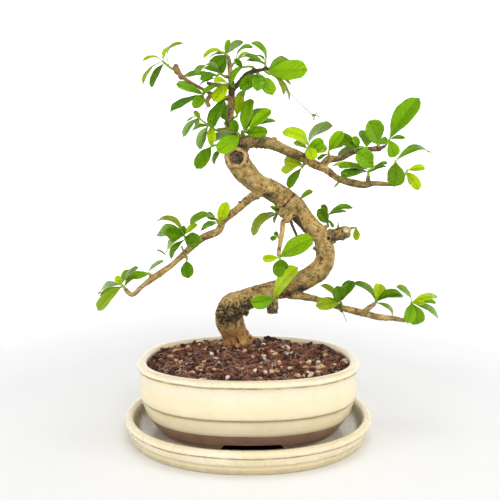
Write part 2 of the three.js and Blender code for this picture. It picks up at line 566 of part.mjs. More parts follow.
    shoot: [[114, -4, 192], [118, -3, 197], [121, -2, 202]], leaves: [
    [0.9, -61, 18, 17, 1, 10, 46], [0.8, -62, -22, 10.5, 0.9, 10, 46], [1, 7, 10, 13, 0.9, 8, 46],
  ] },
  { name: 'spray_under_upper', tone: 'fresh', shoot: [[44, 12, 208], [43, 16, 206]], leaves: [
    [0.3, 158, -28, 18, 1, 10, 53], [1, -153, 58, 31.5, 0.6, 10, 46], [1, -122, 10, 20.5, 0.7, 10, 46],
  ] },
  { name: 'spray_bend_left', tone: 'green', shoot: [[25, 14, 169], [22, 12, 171]], leaves: [
    [0.2, -140, 20, 29, 0.6, 22, 41], [0.2, -151, -20, 18.5, 0.7, 15, 46],
    [0.2, 145, 26, 10, 0.7, 10, 46], [0.2, 114, -22, 10, 0.7, 10, 46],
    [0.2, -119, 24, 9.5, -0.7, 10, 46],
  ] },
  { name: 'spray_bend_dark', tone: 'dark', shoot: [[22.5, -4, 152], [20.5, -5, 152]], leaves: [
    [0.2, -156, 12, 6, 1, 10, 66], [0.2, 117, 34, 5, 1, 10, 66],
  ] },
  { name: 'spray_bend_tip', tone: 'green', shoot: [[23, -9, 137], [24, -11, 135]], leaves: [
    [0.5, 32, 20, 30.5, 0.9, 10, 46], [0.5, -174, -20, 13.5, 1, 5, 46], [1, -99, 34, 15.5, 1, 8, 59],
    [0.8, -56, 10, 9.5, 1, 8, 63],
  ] },
  { name: 'spray_stub', tone: 'bright', shoot: [[20, 0, 102], [20, -4, 104]], leaves: [
    [0.2, 56, 15, 33, 0.6, 12, 46], [1, -176, 34, 22, 1, 8, 48],
  ] },
  { name: 'spray_back_right', tone: 'dark', shoot: [[67, 37, 160], [67, 38, 168]], leaves: [
    [0.2, 129, 30, 17.5, 1, 10, 54], [1, 114, -20, 11, 1, 15, 46], [1, 17, 10, 22, 0.6, 20, 32],
    [1, 11, -14, 18, 0.6, 10, 30], [0.6, -61, 25, 9, 0.8, 10, 46],
  ] },
  { name: 'spray_cut_stub', tone: 'olive', shoot: [[82.5, 14, 158], [85.5, 12, 158]], leaves: [
    [1, -96, 30, 11.5, 1, 10, 47],
  ] },
  { name: 'spray_back_trunk', tone: 'fresh', shoot: [[40, 25, 178], [42, 27, 181]], leaves: [
    [0.9, 33, 20, 13.5, 0.7, 10, 46],
  ] },
  { name: 'spray_lower_first', tone: 'green', shoot: [[72, -2, 100], [71, -4, 102]], leaves: [
    [0.9, -173, 20, 21.5, 0.9, 8, 46], [1, 142, -10, 19.5, 0.6, 15, 36], [0.9, 111, 34, 17, 1, 8, 63],
    [0.9, 52, -28, 21, 0.8, 10, 46], [0.9, -82, 24, 9, 0.6, 10, 41],
  ] },
  { name: 'spray_lower_twig', tone: 'bright', shoot: [[98, -2, 100], [99, -4, 102]], leaves: [
    [0.2, 138, 20, 27, 0.6, 18, 30], [0.3, 68, -22, 16, 1, 6, 66], [0.2, 16, 10, 21.5, 0.6, 25, 41],
    [0.2, -42, -15, 20, 0.6, 25, 32],
  ] },
  { name: 'spray_lower_end', tone: 'green',
    shoot: [[119, -11, 89], [121, -11, 95], [123, -12, 102]], leaves: [
    [1, 136, 20, 20.5, 0.6, 15, 36], [1, 11, -14, 22.5, 0.6, 12, 33], [1, 1, 6, 18, 0.6, 10, 30],
    [1, -29, -15, 27.5, 0.6, 10, 30], [1, -111, 25, 16.5, 1, 8, 55], [1, -70, -8, 18, 1, 8, 66],
    [1, 4, 26, 9.5, 0.8, 10, 46],
  ] },
  { name: 'spray_left_first', tone: 'fresh', shoot: [[-22, -5, 161], [-24, -8, 165]], leaves: [
    [0.2, 67, 20, 18.5, 1, 10, 46], [1, -169, 26, 21.5, 0.6, 25, 46], [0.7, 144, -28, 11.5, 1, 10, 46],
    [0.5, -153, 42, 15.5, 0.6, 10, 46], [0.2, -156, 31, 16, 0.6, 10, 31],
  ] },
  { name: 'spray_left_second', tone: 'dark', shoot: [[-46, -9, 147], [-48, -11, 153]], leaves: [
    [1, 153, -4, 23.5, 0.6, 36, 32], [1, 41, -10, 13, 0.8, 10, 46], [1, 94, 10, 7.5, 0.8, 10, 46],
    [1, 161, 42, 16.5, 1, 8, 63], [1, 177, -36, 28, 0.8, 8, 46], [1, -139, -36, 25.5, 0.6, 10, 39],
    [0.9, -152, 18, 11.5, 0.6, 10, 44], [0.5, -125, 15, 18.5, 0.6, 12, 46],
    [0.8, -18, 34, 16.5, 1, 8, 66],
  ] },
  { name: 'spray_left_hanging', tone: 'dark', shoot: [[-46, -11, 136], [-46, -13, 134]], leaves: [
    [1, -79, 34, 15, 1, 6, 64],
  ] },
  { name: 'spray_left_knob', tone: 'green', shoot: [[-73, -15, 124], [-75, -17, 125]], leaves: [
    [0.7, 37, 20, 17.5, 0.6, 10, 30], [0.2, -168, 28, 12.5, 0.9, 15, 46],
  ] },
  { name: 'spray_left_end', tone: 'olive', shoot: [[-91, -19, 114], [-93, -21, 117]], leaves: [
    [0.2, 42, -20, 17.5, 0.7, 15, 46], [1, 43, 22, 21.5, 0.6, 8, 30], [1, 105, 26, 8.5, 1, 10, 66],
    [1, 68, -28, 13, 0.9, 10, 46], [1, -157, -36, 28, 0.6, 12, 31], [0.3, -160, 9, 18, -0.6, 12, 30],
    [0.6, -134, 20, 24.5, 0.8, 10, 46],
  ] },
];

const LARGE_OUTLINE = [[0, 0], [0.2, 0.44], [0.42, 0.9], [0.68, 1], [0.92, 0.68], [1, 0.26]];
const MIDDLE_OUTLINE = [[0, 0], [0.28, 0.62], [0.62, 1], [0.9, 0.74], [1, 0.28]];
const SMALL_OUTLINE = [[0, 0], [0.4, 0.86], [0.78, 0.94], [1, 0.34]];

function outlineFor(length) {
  if (length < SMALL_LEAF) {
    return SMALL_OUTLINE;
  }
  return length < LARGE_LEAF ? MIDDLE_OUTLINE : LARGE_OUTLINE;
}

const TOWARD_VIEWER = new THREE.Vector3(0, -1, 0);

function leafAxes(angle, lean, seen) {
  const a = THREE.MathUtils.degToRad(angle);
  const t = THREE.MathUtils.degToRad(lean);
  const reach = Math.cos(t);
  const along = new THREE.Vector3(Math.cos(a) * reach, -Math.sin(t), Math.sin(a) * reach);
  const rising = new THREE.Vector3(-Math.sin(a), 0, Math.cos(a));
  if (rising.z < 0 || (Math.abs(rising.z) < 0.2 && rising.x > 0)) {
    rising.negate();
  }
  const face = TOWARD_VIEWER.clone().multiplyScalar(seen);
  face.addScaledVector(rising, Math.sqrt(1 - seen * seen));
  face.addScaledVector(along, -face.dot(along)).normalize();
  return { along, face, side: along.clone().cross(face) };
}

// A blade is a thin sheet that grows wider from its root, with a raised edge on both sides of the
// midrib and a light wave. Both faces of the sheet are split into the same triangles.

function leaf(base, row, random) {
  const [, angle, lean, length, seen, arch, breadth] = row;
  const { along, face, side } = leafAxes(angle, lean, seen);
  const outline = outlineFor(length);
  const halfWidth = length * breadth / 200;
  const positions = [];
  const rungs = outline.map(([t, share]) => {
    const slope = 4 * arch / 100 * (1 - 2 * t);
    const across = face.clone().addScaledVector(along, -slope).normalize();
    const rise = length * arch / 100 * 4 * t * (1 - t);
    const middle = base.clone().addScaledVector(along, length * t).addScaledVector(face, rise);
    return (share === 0 ? [0] : [-1, 0, 1]).map((sign) => {
      const reach = sign * halfWidth * share;
      const lift = sign === 0 ? 0 : halfWidth * (BLADE_TROUGH * share + BLADE_WAVE * (random() - 0.5));
      const rim = middle.clone().addScaledVector(side, reach).addScaledVector(across, lift);
      if (sign !== 0 && t === 1) {
        rim.addScaledVector(along, -TIP_CURVE * length);
      }
      positions.push(...rim.clone().addScaledVector(across, LEAF_THICKNESS / 2));
      positions.push(...rim.clone().addScaledVector(across, -LEAF_THICKNESS / 2));
      return positions.length / 6 - 1;
    });
  });
  const triangles = [];
  for (let k = 0; k < rungs.length - 1; k += 1) {
    const [a, b] = [rungs[k], rungs[k + 1]];
    for (let column = 0; column < 2; column += 1) {
      const near = a.length === 1 ? [a[0], a[0]] : [a[column], a[column + 1]];
      triangles.push([near[0], b[column + 1], b[column]]);
      if (near[0] !== near[1]) {
        triangles.push([near[0], near[1], b[column + 1]]);
      }
    }
  }
  const border = [
    ...rungs.map((rung) => rung[0]),
    rungs.at(-1)[1],
    ...rungs.slice(1).reverse().map((rung) => rung[2]),
  ];
  const faces = triangles.flatMap(([a, b, c]) => [
    2 * a, 2 * b, 2 * c,
    2 * a + 1, 2 * c + 1, 2 * b + 1,
  ]);
  border.forEach((here, i) => {
    const next = border[(i + 1) % border.length];
    faces.push(2 * here, 2 * next, 2 * next + 1, 2 * here, 2 * next + 1, 2 * here + 1);
  });
  const sheet = new THREE.BufferGeometry();
  sheet.setAttribute('position', new THREE.Float32BufferAttribute(positions, 3));
  sheet.setIndex(faces);
  return solidFrom(sheet);
}

function shootPoint(shoot, share) {
  const lengths = shoot.slice(1).map((row, i) => point(row).distanceTo(point(shoot[i])));
  let left = share * lengths.reduce((sum, length) => sum + length, 0);
  for (let i = 0; i < lengths.length; i += 1) {
    if (left <= lengths[i] || i === lengths.length - 1) {
      return point(shoot[i]).lerp(point(shoot[i + 1]), Math.min(1, left / lengths[i]));
    }
    left -= lengths[i];
  }
  return point(shoot[0]);
}

function spray({ shoot, leaves }, index) {
  const random = randomFrom(101 + index);
  const lead = spurAxis({ shoot }).along;
  const start = point(shoot[0]).addScaledVector(lead, SEAT_GAP);
  const last = shoot.length - 1;
  const beyond = point(shoot[last]).sub(point(shoot[last - 1])).setLength(SHOOT_TIP_RADIUS);
  const tip = point(shoot[last]).add(beyond);
  const rows = [
    [...start, SHOOT_RADIUS],
    ...shoot.slice(1, last).map((row) => [...row, (SHOOT_RADIUS + SHOOT_TIP_RADIUS) / 2]),
    [...tip, SHOOT_TIP_RADIUS],
  ];
  const pieces = leaves.map((row) => leaf(shootPoint(shoot, row[0]), row, random));
  return joined([sweep(rows, SHOOT_SIDES, { lead }), ...pieces]);
}

// The assembled object

const FOLIAGE = {
  fresh: material('#8fb01a', 0.45),
  bright: material('#a4c80f', 0.42),
  green: material('#5f9a10', 0.4),
  dark: material('#2f6a0e', 0.36),
  olive: material('#6f8a2a', 0.45),
};

const bonsai = new THREE.Group();

function place(name, geometry, look) {
  const mesh = new THREE.Mesh(geometry, look);
  mesh.name = name;
  bonsai.add(mesh);
  return mesh;
}

place('saucer', geometryFrom(saucer()), material('#e6dfc6', 0.25));
place('pot', geometryFrom(pot()), material('#e9e2c8', 0.25));
for (const [name, side] of [['drain_mesh_left', -1], ['drain_mesh_right', 1]]) {
  const mesh = place(name, drainMesh(), material('#1d1f1e', 0.6));
  mesh.position.set(side * DRAIN_HOLE_OFFSET, 0, POT_FLOOR_TOP + MESH_THICKNESS / 2);
}
place('soil', geometryFrom(soil()), material('#5b2f22', 0.95));
place('wood', geometryFrom(wood()), material('#a98a55', 0.85));
SPRAYS.forEach((entry, index) => {
  place(entry.name, geometryFrom(spray(entry, index)), FOLIAGE[entry.tone]);
});

export default bonsai;
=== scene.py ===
from math import copysign, cos, exp, pi, radians, sin, sqrt

import bmesh
import bpy
import numpy as np
from mathutils import Matrix, Vector, kdtree, noise
from numpy.linalg import norm


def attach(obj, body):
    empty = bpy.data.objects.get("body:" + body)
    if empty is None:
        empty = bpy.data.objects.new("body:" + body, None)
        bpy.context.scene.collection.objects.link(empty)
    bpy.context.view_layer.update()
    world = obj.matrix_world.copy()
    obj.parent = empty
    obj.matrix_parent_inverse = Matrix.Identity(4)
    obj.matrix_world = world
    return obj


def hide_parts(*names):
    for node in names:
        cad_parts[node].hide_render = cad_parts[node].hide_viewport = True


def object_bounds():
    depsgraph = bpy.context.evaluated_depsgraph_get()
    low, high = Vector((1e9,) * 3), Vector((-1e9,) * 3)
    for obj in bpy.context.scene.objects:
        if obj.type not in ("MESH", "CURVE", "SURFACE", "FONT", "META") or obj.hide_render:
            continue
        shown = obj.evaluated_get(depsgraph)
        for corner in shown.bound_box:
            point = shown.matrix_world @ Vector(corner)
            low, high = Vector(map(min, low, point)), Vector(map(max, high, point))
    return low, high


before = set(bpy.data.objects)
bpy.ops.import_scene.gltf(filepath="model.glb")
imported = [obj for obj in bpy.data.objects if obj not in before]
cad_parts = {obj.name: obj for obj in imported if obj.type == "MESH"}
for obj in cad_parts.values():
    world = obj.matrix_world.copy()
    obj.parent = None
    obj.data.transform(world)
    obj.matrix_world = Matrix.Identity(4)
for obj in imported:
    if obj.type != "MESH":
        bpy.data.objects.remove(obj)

CAD_BOX = [list(corner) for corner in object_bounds()]
MM = 0.001
FULL_TURN = 2 * pi


# ---- Mesh helpers. Shapes are written in millimetres and stored in metres.

def add_object(name, data):
    piece = bpy.data.objects.new(name, data)
    bpy.context.scene.collection.objects.link(piece)
    return piece


def mesh_object(name, points, faces, smooth=True):
    mesh = bpy.data.meshes.new(name)
    mesh.from_pydata((np.asarray(points, float) * MM).tolist(), [], faces)
    mesh.validate()
    mesh.polygons.foreach_set("use_smooth", [smooth] * len(mesh.polygons))
    return add_object(name, mesh)


def rows(text):
    """Rows of numbers from a text that has commas between the rows."""
    return [[float(part) for part in row.split()] for row in text.split(",")]


def held(values):
    """The values, kept within 0 and 1."""
    return np.clip(values, 0, 1)


def turns(count):
    return [FULL_TURN * k / count for k in range(count)]


def quads(first, rings, sides, flip=False, closed=False):
    """Faces between neighbouring rings of points, the first of them starting at point number first."""
    faces = []
    for r in range(rings if closed else rings - 1):
        a, b = first + r * sides, first + (r + 1) % rings * sides
        for k in range(sides):
            j = (k + 1) % sides
            faces.append([a + k, b + k, b + j, a + j] if flip else [a + k, a + j, b + j, b + k])
    return faces


def fan(hub, first, sides, flip=False):
    """Triangles from one point to a ring."""
    pairs = [(first + k, first + (k + 1) % sides) for k in range(sides)]
    return [[hub, b, a] if flip else [hub, a, b] for a, b in pairs]


def prism(name, points, flip=False):
    """Solid between two rings of points."""
    sides = len(points) // 2
    low, high = list(range(sides)), list(range(sides, 2 * sides))
    caps = [low, high[::-1]] if flip else [low[::-1], high]
    return mesh_object(name, points, caps + quads(0, 2, sides, flip))


def use_modifier(piece, kind, **settings):
    modifier = piece.modifiers.new(kind.title(), kind)
    for key, value in settings.items():
        setattr(modifier, key, value)
    bpy.context.view_layer.update()
    graph = bpy.context.evaluated_depsgraph_get()
    fresh = bpy.data.meshes.new_from_object(piece.evaluated_get(graph))
    piece.modifiers.clear()
    old = piece.data
    piece.data = fresh
    bpy.data.meshes.remove(old)


def cut_with(piece, cutter):
    use_modifier(piece, "BOOLEAN", object=cutter, operation="DIFFERENCE", solver="EXACT")
    bpy.data.objects.remove(cutter)


def sharpen(piece, degrees):
    bm = bmesh.new()
    bm.from_mesh(piece.data)
    for face in bm.faces:
        face.smooth = True
    for edge in bm.edges:
        edge.smooth = len(edge.link_faces) == 2 and edge.calc_face_angle(0) < radians(degrees)
    bm.to_mesh(piece.data)
    bm.free()


def vertex_values(piece, **named):
    """Numbers or colours stored for each vertex, for the materials to read."""
    for name, values in named.items():
        values = np.asarray(values, np.float32)
        kind, key = ("FLOAT", "value") if values.ndim == 1 else ("FLOAT_COLOR", "color")
        if values.ndim == 2:
            values = np.c_[values, np.ones(len(values))].astype(np.float32).ravel()
        piece.data.attributes.new(name, kind, "POINT").data.foreach_set(key, values)


class Heap:
    """Small parts gathered into one mesh, with named values for each point."""

    def __init__(self, parts=()):
        self.points, self.faces, self.values = [], [], {}
        for part in parts:
            self.add(*part)

    def add(self, points, faces, **values):
        start, count = len(self.points), len(points)
        self.points += np.asarray(points, float).tolist()
        self.faces += [[i + start for i in face] for face in faces]
        for name, value in values.items():
            per_point = np.shape(value)[:1] == (count,)
            self.values.setdefault(name, []).extend(value if per_point else [value] * count)

    def mesh(self, name, smooth=True):
        piece = mesh_object(name, self.points, self.faces, smooth)
        vertex_values(piece, **self.values)
        return piece


def finish_piece(piece, material, slot, *nodes):
    piece.data.materials.clear()
    piece.data.materials.append(material)
    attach(piece, "root")
    if nodes:
        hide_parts(*nodes)


# ---- Material helpers

def srgb(text):
    parts = [int(text[i:i + 2], 16) / 255 for i in (1, 3, 5)]
    linear = [c / 12.92 if c <= 0.04045 else ((c + 0.055) / 1.055) ** 2.4 for c in parts]
    return (*linear, 1)


class Look:
    """A node material, built from short calls. An input is a socket, one or more numbers, a colour as "#rrggbb"
    or the name of stored values."""

    def __init__(self, name):
        self.material = bpy.data.materials.new(name)
        self.material.use_nodes = True
        self.tree = self.material.node_tree
        self.tree.nodes.clear()
        self.shader = self.node("BsdfPrincipled")
        self.tree.links.new(self.shader.outputs[0], self.node("OutputMaterial").inputs[0])
        self.where = self.node("TexCoord").outputs["Object"]

    def node(self, kind, settings=None, **inputs):
        """A shader node. Each input goes to the socket of that name, or of that number after an i."""
        made = self.tree.nodes.new("ShaderNode" + kind)
        for key, value in (settings or {}).items():
            setattr(made, key, value)
        for key, value in inputs.items():
            self.put(made.inputs[int(key[1:]) if key[1:].isdigit() else key], value)
        return made

    def put(self, socket, value):
        if isinstance(value, str) and not value.startswith("#"):
            value = self.value(value)
        if isinstance(value, bpy.types.NodeSocket):
            self.tree.links.new(value, socket)
        else:
            socket.default_value = srgb(value) if isinstance(value, str) else value

    def math(self, operation, *values):
        made = self.node("Math", {"operation": operation})
        for socket, value in zip(made.inputs, values):
            self.put(socket, value)
        return made.outputs[0]

    def times(self, total, *more):
        for value in more:
            total = self.math("MULTIPLY", total, value)
        return total

    def plus(self, total, *more):
        for value in more:
            total = self.math("ADD", total, value)
        return total

    def scaled(self, value, factor, offset):
        return self.math("MULTIPLY_ADD", value, factor, offset)

    def weighed(self, *pairs):
        """Sum of values, each times its weight."""
        return self.plus(*(self.times(value, weight) for value, weight in pairs))

    def mix(self, share, a, b, blend="MIX"):
        return self.node("Mix", {"data_type": "RGBA", "blend_type": blend}, i0=share, i6=a, i7=b).outputs[2]

    def noise(self, scale, detail=3.0, rough=0.55, where=None, distortion=0.0):
        return self.node("TexNoise", None, Vector=where or self.where, Scale=scale, Detail=detail,
                         Roughness=rough, Distortion=distortion).outputs["Fac"]

    def cells(self, scale, feature="F1", where=None):
        made = self.node("TexVoronoi", {"feature": feature}, Vector=where or self.where, Scale=scale)
        return made.outputs["Distance"]

    def band(self, value, low, high, a=0.0, b=1.0):
        """The value, mapped from low and high to a and b and held between them."""
        return self.node("MapRange", {"clamp": True}, Value=value, i1=low, i2=high, i3=a, i4=b).outputs[0]

    def spots(self, scale, detail, rough, low, high, a=0.0, b=1.0):
        return self.band(self.noise(scale, detail, rough), low, high, a, b)

    def blotched(self, scale, detail, rough, low, high, first, second):
        return self.mix(self.spots(scale, detail, rough, low, high), first, second)

    def layers(self, colour, *paints):
        """Paint laid over a colour: a share of the surface, a strength and a colour each. The share is an input
        or the numbers of spots."""
        for share, strength, top in paints:
            if isinstance(share, tuple):
                share = self.spots(*share)
            colour = self.mix(self.times(share, strength), colour, top)
        return colour

    def axis(self, letter):
        return self.node("SeparateXYZ", None, i0=self.where).outputs[letter]

    def stretched(self, *scale):
        return self.node("Mapping", None, i0=self.where, Scale=scale).outputs[0]

    def warped(self, scale, reach):
        """Object coordinates, shifted by up to about half the reach."""
        wave = self.node("TexNoise", None, Vector=self.where, Scale=scale, Detail=3.0).outputs["Color"]
        shift = self.node("VectorMath", {"operation": "SUBTRACT"}, i0=wave, i1=(0.5, 0.5, 0.5)).outputs[0]
        shift = self.node("VectorMath", {"operation": "SCALE"}, i0=shift, Scale=reach).outputs[0]
        return self.node("VectorMath", {"operation": "ADD"}, i0=self.where, i1=shift).outputs[0]

    def value(self, name, output="Fac"):
        return self.node("Attribute", {"attribute_name": name}).outputs[output]

    def bump(self, height, distance, strength):
        return self.node("Bump", None, Height=height, Distance=distance, Strength=strength).outputs[0]

    def done(self, colour, roughness, normal=None, **fixed):
        fixed.update(Base_Color=colour, Roughness=roughness)
        if normal:
            fixed["Normal"] = normal
        for key, value in fixed.items():
            self.put(self.shader.inputs[key.replace("_", " ")], value)
        return self.material


# ---- Camera, light and floor

CAMERA_PLACE = (1.33, -380, 165)
CAMERA_DROOP = 3.59
CAMERA_LENS = 35.48
SENSOR_WIDTH = 36
LIGHT_AIM = Vector((0, 0, 0.15))
WORLD_STRENGTH = 0.24

camera_data = bpy.data.cameras.new("camera")
camera_data.lens = CAMERA_LENS
camera_data.sensor_width = SENSOR_WIDTH
camera = add_object("camera", camera_data)
camera.location = [part * MM for part in CAMERA_PLACE]
camera.rotation_euler = (radians(90 - CAMERA_DROOP), 0, 0)
bpy.context.scene.camera = camera

world = bpy.data.worlds.new("studio")
world.use_nodes = True
world.node_tree.nodes["Background"].inputs[0].default_value = (1, 1, 1, 1)
world.node_tree.nodes["Background"].inputs[1].default_value = WORLD_STRENGTH
bpy.context.scene.world = world
bpy.context.scene.view_settings.view_transform = "Standard"

# Area lights: name, place in metres, size, power
for name, place, size, power in (
    ("key_light", (0.25, -0.95, 0.9), 0.6, 4.1), ("fill_light", (-0.9, -0.6, 0.7), 0.4, 1.5),
    ("right_light", (0.95, -0.35, 0.75), 0.4, 1.2), ("top_light", (0.05, -0.08, 1.25), 0.5, 3.0),
):
    data = bpy.data.lights.new(name, "AREA")
    data.size = size
    data.energy = power
    lamp = add_object(name, data)
    lamp.location = place
    lamp.rotation_mode = "QUATERNION"
    lamp.rotation_quaternion = (LIGHT_AIM - Vector(place)).to_track_quat("-Z", "Y")

FLOOR_REACH, FLOOR_BEND, FLOOR_SPOKES = 1100, 600, 64


def sweep_floor():
    """Floor that rises behind and round the object into a pale backdrop."""
    profile = [(FLOOR_REACH, 0)]
    profile += [(FLOOR_REACH + FLOOR_BEND * sin(a), FLOOR_BEND * (1 - cos(a)))
                for a in np.linspace(0.1, pi / 2, 12)]
    profile.append((FLOOR_REACH + FLOOR_BEND, 2 * FLOOR_BEND))
    points = [[0, 0, 0]]
    for reach, height in profile:
        points += [[reach * cos(turn), reach * sin(turn), height] for turn in turns(FLOOR_SPOKES)]
    faces = fan(0, 1, FLOOR_SPOKES) + quads(1, len(profile), FLOOR_SPOKES, flip=True)
    return mesh_object("floor", points, faces)


floor = sweep_floor()
floor.location.z = -0.1 * MM
look = Look("floor_paint")
away = look.node("VectorMath", {"operation": "LENGTH"}, i0=look.where).outputs["Value"]
look.shader.inputs["Emission Color"].default_value = (1, 1, 1, 1)
look.put(look.shader.inputs["Emission Strength"], look.band(away, 0.25, 1.2, 0, 0.62))
look.material.cycles.emission_sampling = "NONE"
floor.data.materials.append(look.done(look.mix(look.noise(3.0), (0.88, 0.88, 0.88, 1), (0.9, 0.9, 0.9, 1)), 0.8))


# ---- Pot and saucer: the turned profile of the solids with finer steps and softened corners.
# An oval is how much less its half width is than its half length, and the power of its curve.

POT_OVAL = (18.7, 2.31)
SAUCER_OVAL = (16.8, 2.14)
OVAL_STEPS = 192


def oval_point(half_length, turn, step, power):
    half_width = half_length - step if half_length > step * 2 else half_length * 0.5
    return [copysign(half * abs(part) ** (2 / power), part)
            for half, part in ((half_length, cos(turn)), (half_width, sin(turn)))]


def softened(profile, rounds):
    """The profile with its corners cut, near each corner only."""
    line = [np.array(p, float) for p in profile]
    for _ in range(rounds):
        cut = [line[0]]
        for a, b in zip(line[:-1], line[1:]):
            reach = min(0.25, 1.2 / max(norm(b - a), 1e-6))
            cut += [a + (b - a) * reach, b + (a - b) * reach]
        line = cut + [line[-1]]
    return line


def vessel(name, profile, oval):
    levels = [p for p in softened(profile, 2) if p[0] > 1e-3]
    points = [[0, 0, profile[0][1]]]
    for half_length, height in levels:
        points += [[*oval_point(half_length, turn, *oval), height] for turn in turns(OVAL_STEPS)]
    points.append([0, 0, profile[-1][1]])
    last_ring = 1 + (len(levels) - 1) * OVAL_STEPS
    faces = fan(0, 1, OVAL_STEPS, flip=True) + fan(len(points) - 1, last_ring, OVAL_STEPS)
    return mesh_object(name, points, faces + quads(1, len(levels), OVAL_STEPS))


# Profiles: [half length, height]
SAUCER_PROFILE = rows("""
    0 0, 87.4 0, 88.8 .4, 90.4 2.2, 91.2 4.2, 91.3 5.6, 90.9 6.6, 91.6 7.6, 93.3 10.8, 94.4 13.4, 94.8 15.2,
    94.6 16.2, 93.4 17, 91.4 17.3, 89.8 17, 88.4 15.6, 86.9 11.6, 85.2 7.6, 82.6 5.6, 79 5, 0 5""")
POT_PROFILE = rows("""
    0 11, 59 11, 60 5, 66.2 5, 67.2 5.4, 70.1 8.5, 69.8 9.2, 71.6 10, 74.6 14.4, 77.6 19.1, 77.8 19.6, 78.7 20.4,
    80.5 26, 81.5 30, 80.9 31.1, 81.2 31.7, 82.7 32.4, 83.7 38, 83.8 43, 83.4 48, 83.4 51, 83.8 52.6, 84.6 54.2,
    85 55.6, 84.6 57.2, 83.2 58.4, 81.3 58.8, 79.3 58.5, 77.9 57.2, 77.4 54.8, 75.8 30, 72 17.5, 67 15, 0 15""")
# Outline [x, z] of the notch that runs through the foot
NOTCH = [[-20.4, 3], [26.4, 3], [24.6, 7], [22, 11.01], [-16, 11.01], [-18.6, 7]]
DRAIN_RADIUS, DRAIN_OFFSET, DRAIN_SIDES = 6, 32, 40

saucer = vessel("saucer_fine", SAUCER_PROFILE, SAUCER_OVAL)
pot = vessel("pot_fine", POT_PROFILE, POT_OVAL)
cut_with(pot, prism("notch", [[x, y, z] for y in (-90, 90) for x, z in NOTCH], flip=True))
for side in (-1, 1):
    cut_with(pot, prism("drill", [
        [side * DRAIN_OFFSET + cos(turn) * DRAIN_RADIUS, sin(turn) * DRAIN_RADIUS, z]
        for z in (0, 20) for turn in turns(DRAIN_SIDES)]))
sharpen(pot, 32)
sharpen(saucer, 40)


def glaze_look(name, is_pot):
    look = Look(name)
    x, y, z = (look.axis(letter) for letter in "XYZ")
    height = look.plus(z, look.scaled(look.noise(45, 4, 0.6), 0.0014, -0.0007),
                       look.scaled(look.noise(420, 3, 0.6), 0.0006, -0.0003))

    def line(centre, half, soft):
        """Share of a line painted round the body at one height."""
        off = look.math("ABSOLUTE", look.plus(height, -centre * MM))
        return look.band(off, half * MM, (half + soft) * MM, 1, 0)

    def oval(half_length, step, power):
        """1 on the oval, less inside it and more outside."""
        return look.plus(*(
            look.math("POWER", look.math("DIVIDE", look.math("ABSOLUTE", axis), half * MM), power)
            for axis, half in ((x, half_length), (y, half_length - step))))

    def upward(value, low, high, a=1, b=0):
        return look.band(value, low * MM, high * MM, a, b)

    pores = look.times(look.band(look.cells(520), 0.07, 0.14, 1, 0), look.spots(90, 2, 0.55, 0.5, 0.62))
    colour = look.layers(
        look.blotched(24, 4, 0.55, 0.35, 0.68, "#ebe0c3", "#e2d4af"),
        ((150, 5, 0.65, 0.5, 0.75), 0.25, "#cdb888"),
        ((700, 3, 0.7, 0.55, 0.75), 0.22, "#fffaf0"),
        (pores, 0.6, "#8d6f42"))
    broken = look.spots(130, 3, 0.55, 0.3, 0.6, 0.45, 1)
    if is_pot:
        inner = look.times(look.band(oval(78.0, *POT_OVAL), 0.93, 1.0, 1, 0), upward(z, 50, 57.6, 1, 0.2))
        colour = look.layers(
            colour,
            (line(41.0, 2.0, 5.0), 0.4, "#f2e0b4"),
            (line(48.5, 1.0, 3.5), 0.3, "#e9e2d2"),
            (line(30.4, 0.4, 3.0), 0.5, "#b9a673"),
            (line(31.2, 0.2, 1.3), 0.7, "#75613a"),
            (upward(height, 23, 30), 0.5, "#e2d6b4"),
            (line(20.8, 0.2, 1.6), 0.35, "#c4af80"),
            (look.times(line(54.6, 0.3, 0.8), broken), 0.8, "#6d552b"),
            (upward(height, 56.6, 58.4, 0, 1), 0.3, "#d5c4a0"),
            (inner, 0.8, "#a3926a"))
        bare = upward(height, 19.5, 19.8)
        # The pot's underside inside the foot ring is painted near black: painted shade
        below = look.times(look.band(oval(61.0, *POT_OVAL), 0.98, 1.02, 1, 0), upward(z, 11.3, 11.6))
        clay = look.layers(
            look.blotched(90, 6, 0.7, 0.3, 0.7, "#84654f", "#9f7c64"),
            ((900, 2, 0.55, 0.62, 0.7), 0.4, "#b0907a"),
            (look.band(look.cells(500), 0.06, 0.12, 1, 0), 0.5, "#46332a"),
            (line(8.9, 0.1, 0.5), 0.7, "#3a281f"),
            (below, 1, "#0b0907"))
        colour = look.mix(bare, colour, clay)
        rough = look.scaled(bare, 0.6, 0.26)
        relief = look.plus(look.times(bare, look.spots(300, 5, 0.7, 0.3, 0.7), 0.5), look.times(pores, -0.5))
    else:
        spread = oval(89.5, *SAUCER_OVAL)
        outer = look.band(spread, 0.985, 1.0)
        wall = look.times(look.band(spread, 0.82, 0.88), look.band(spread, 0.94, 0.985, 1, 0))
        base = look.layers(
            look.blotched(120, 5, 0.7, 0.4, 0.7, "#e9e3d3", "#d2c9b2"),
            (look.band(look.cells(200), 0.05, 0.10, 1, 0), 0.7, "#5f4b33"),
            # The saucer floor under the pot's foot is painted near black: painted shade
            (look.band(oval(66.5, *POT_OVAL), 0.96, 1.0, 1, 0), 1, "#0b0907"))
        colour = look.layers(
            colour,
            (look.band(spread, 0.80, 0.86, 1, 0), 1, base),
            (wall, 0.75, "#8f8258"),
            (look.times(upward(height, 4, 7.2), outer), 0.8, "#b8a678"),
            # Soft olive line in the saucer's groove: painted shade
            (look.times(line(6.7, 0.2, 1.3), outer), 0.5, "#94824f"),
            (look.times(look.spots(30, 3, 0.55, 0.45, 0.65, 0, 0.5), outer), 0.6, "#dcc489"),
            (look.times(line(13.4, 0.25, 0.7), broken, outer), 0.8, "#6d552b"))
        rough = look.spots(60, 3, 0.55, 0.3, 0.7, 0.22, 0.34)
        relief = look.times(pores, -0.5)
    waves = look.plus(relief, look.times(look.noise(60, 2), 0.8))
    return look.done(colour, rough, look.bump(waves, 0.0004, 0.45), Coat_Weight=0.25, Coat_Roughness=0.08)


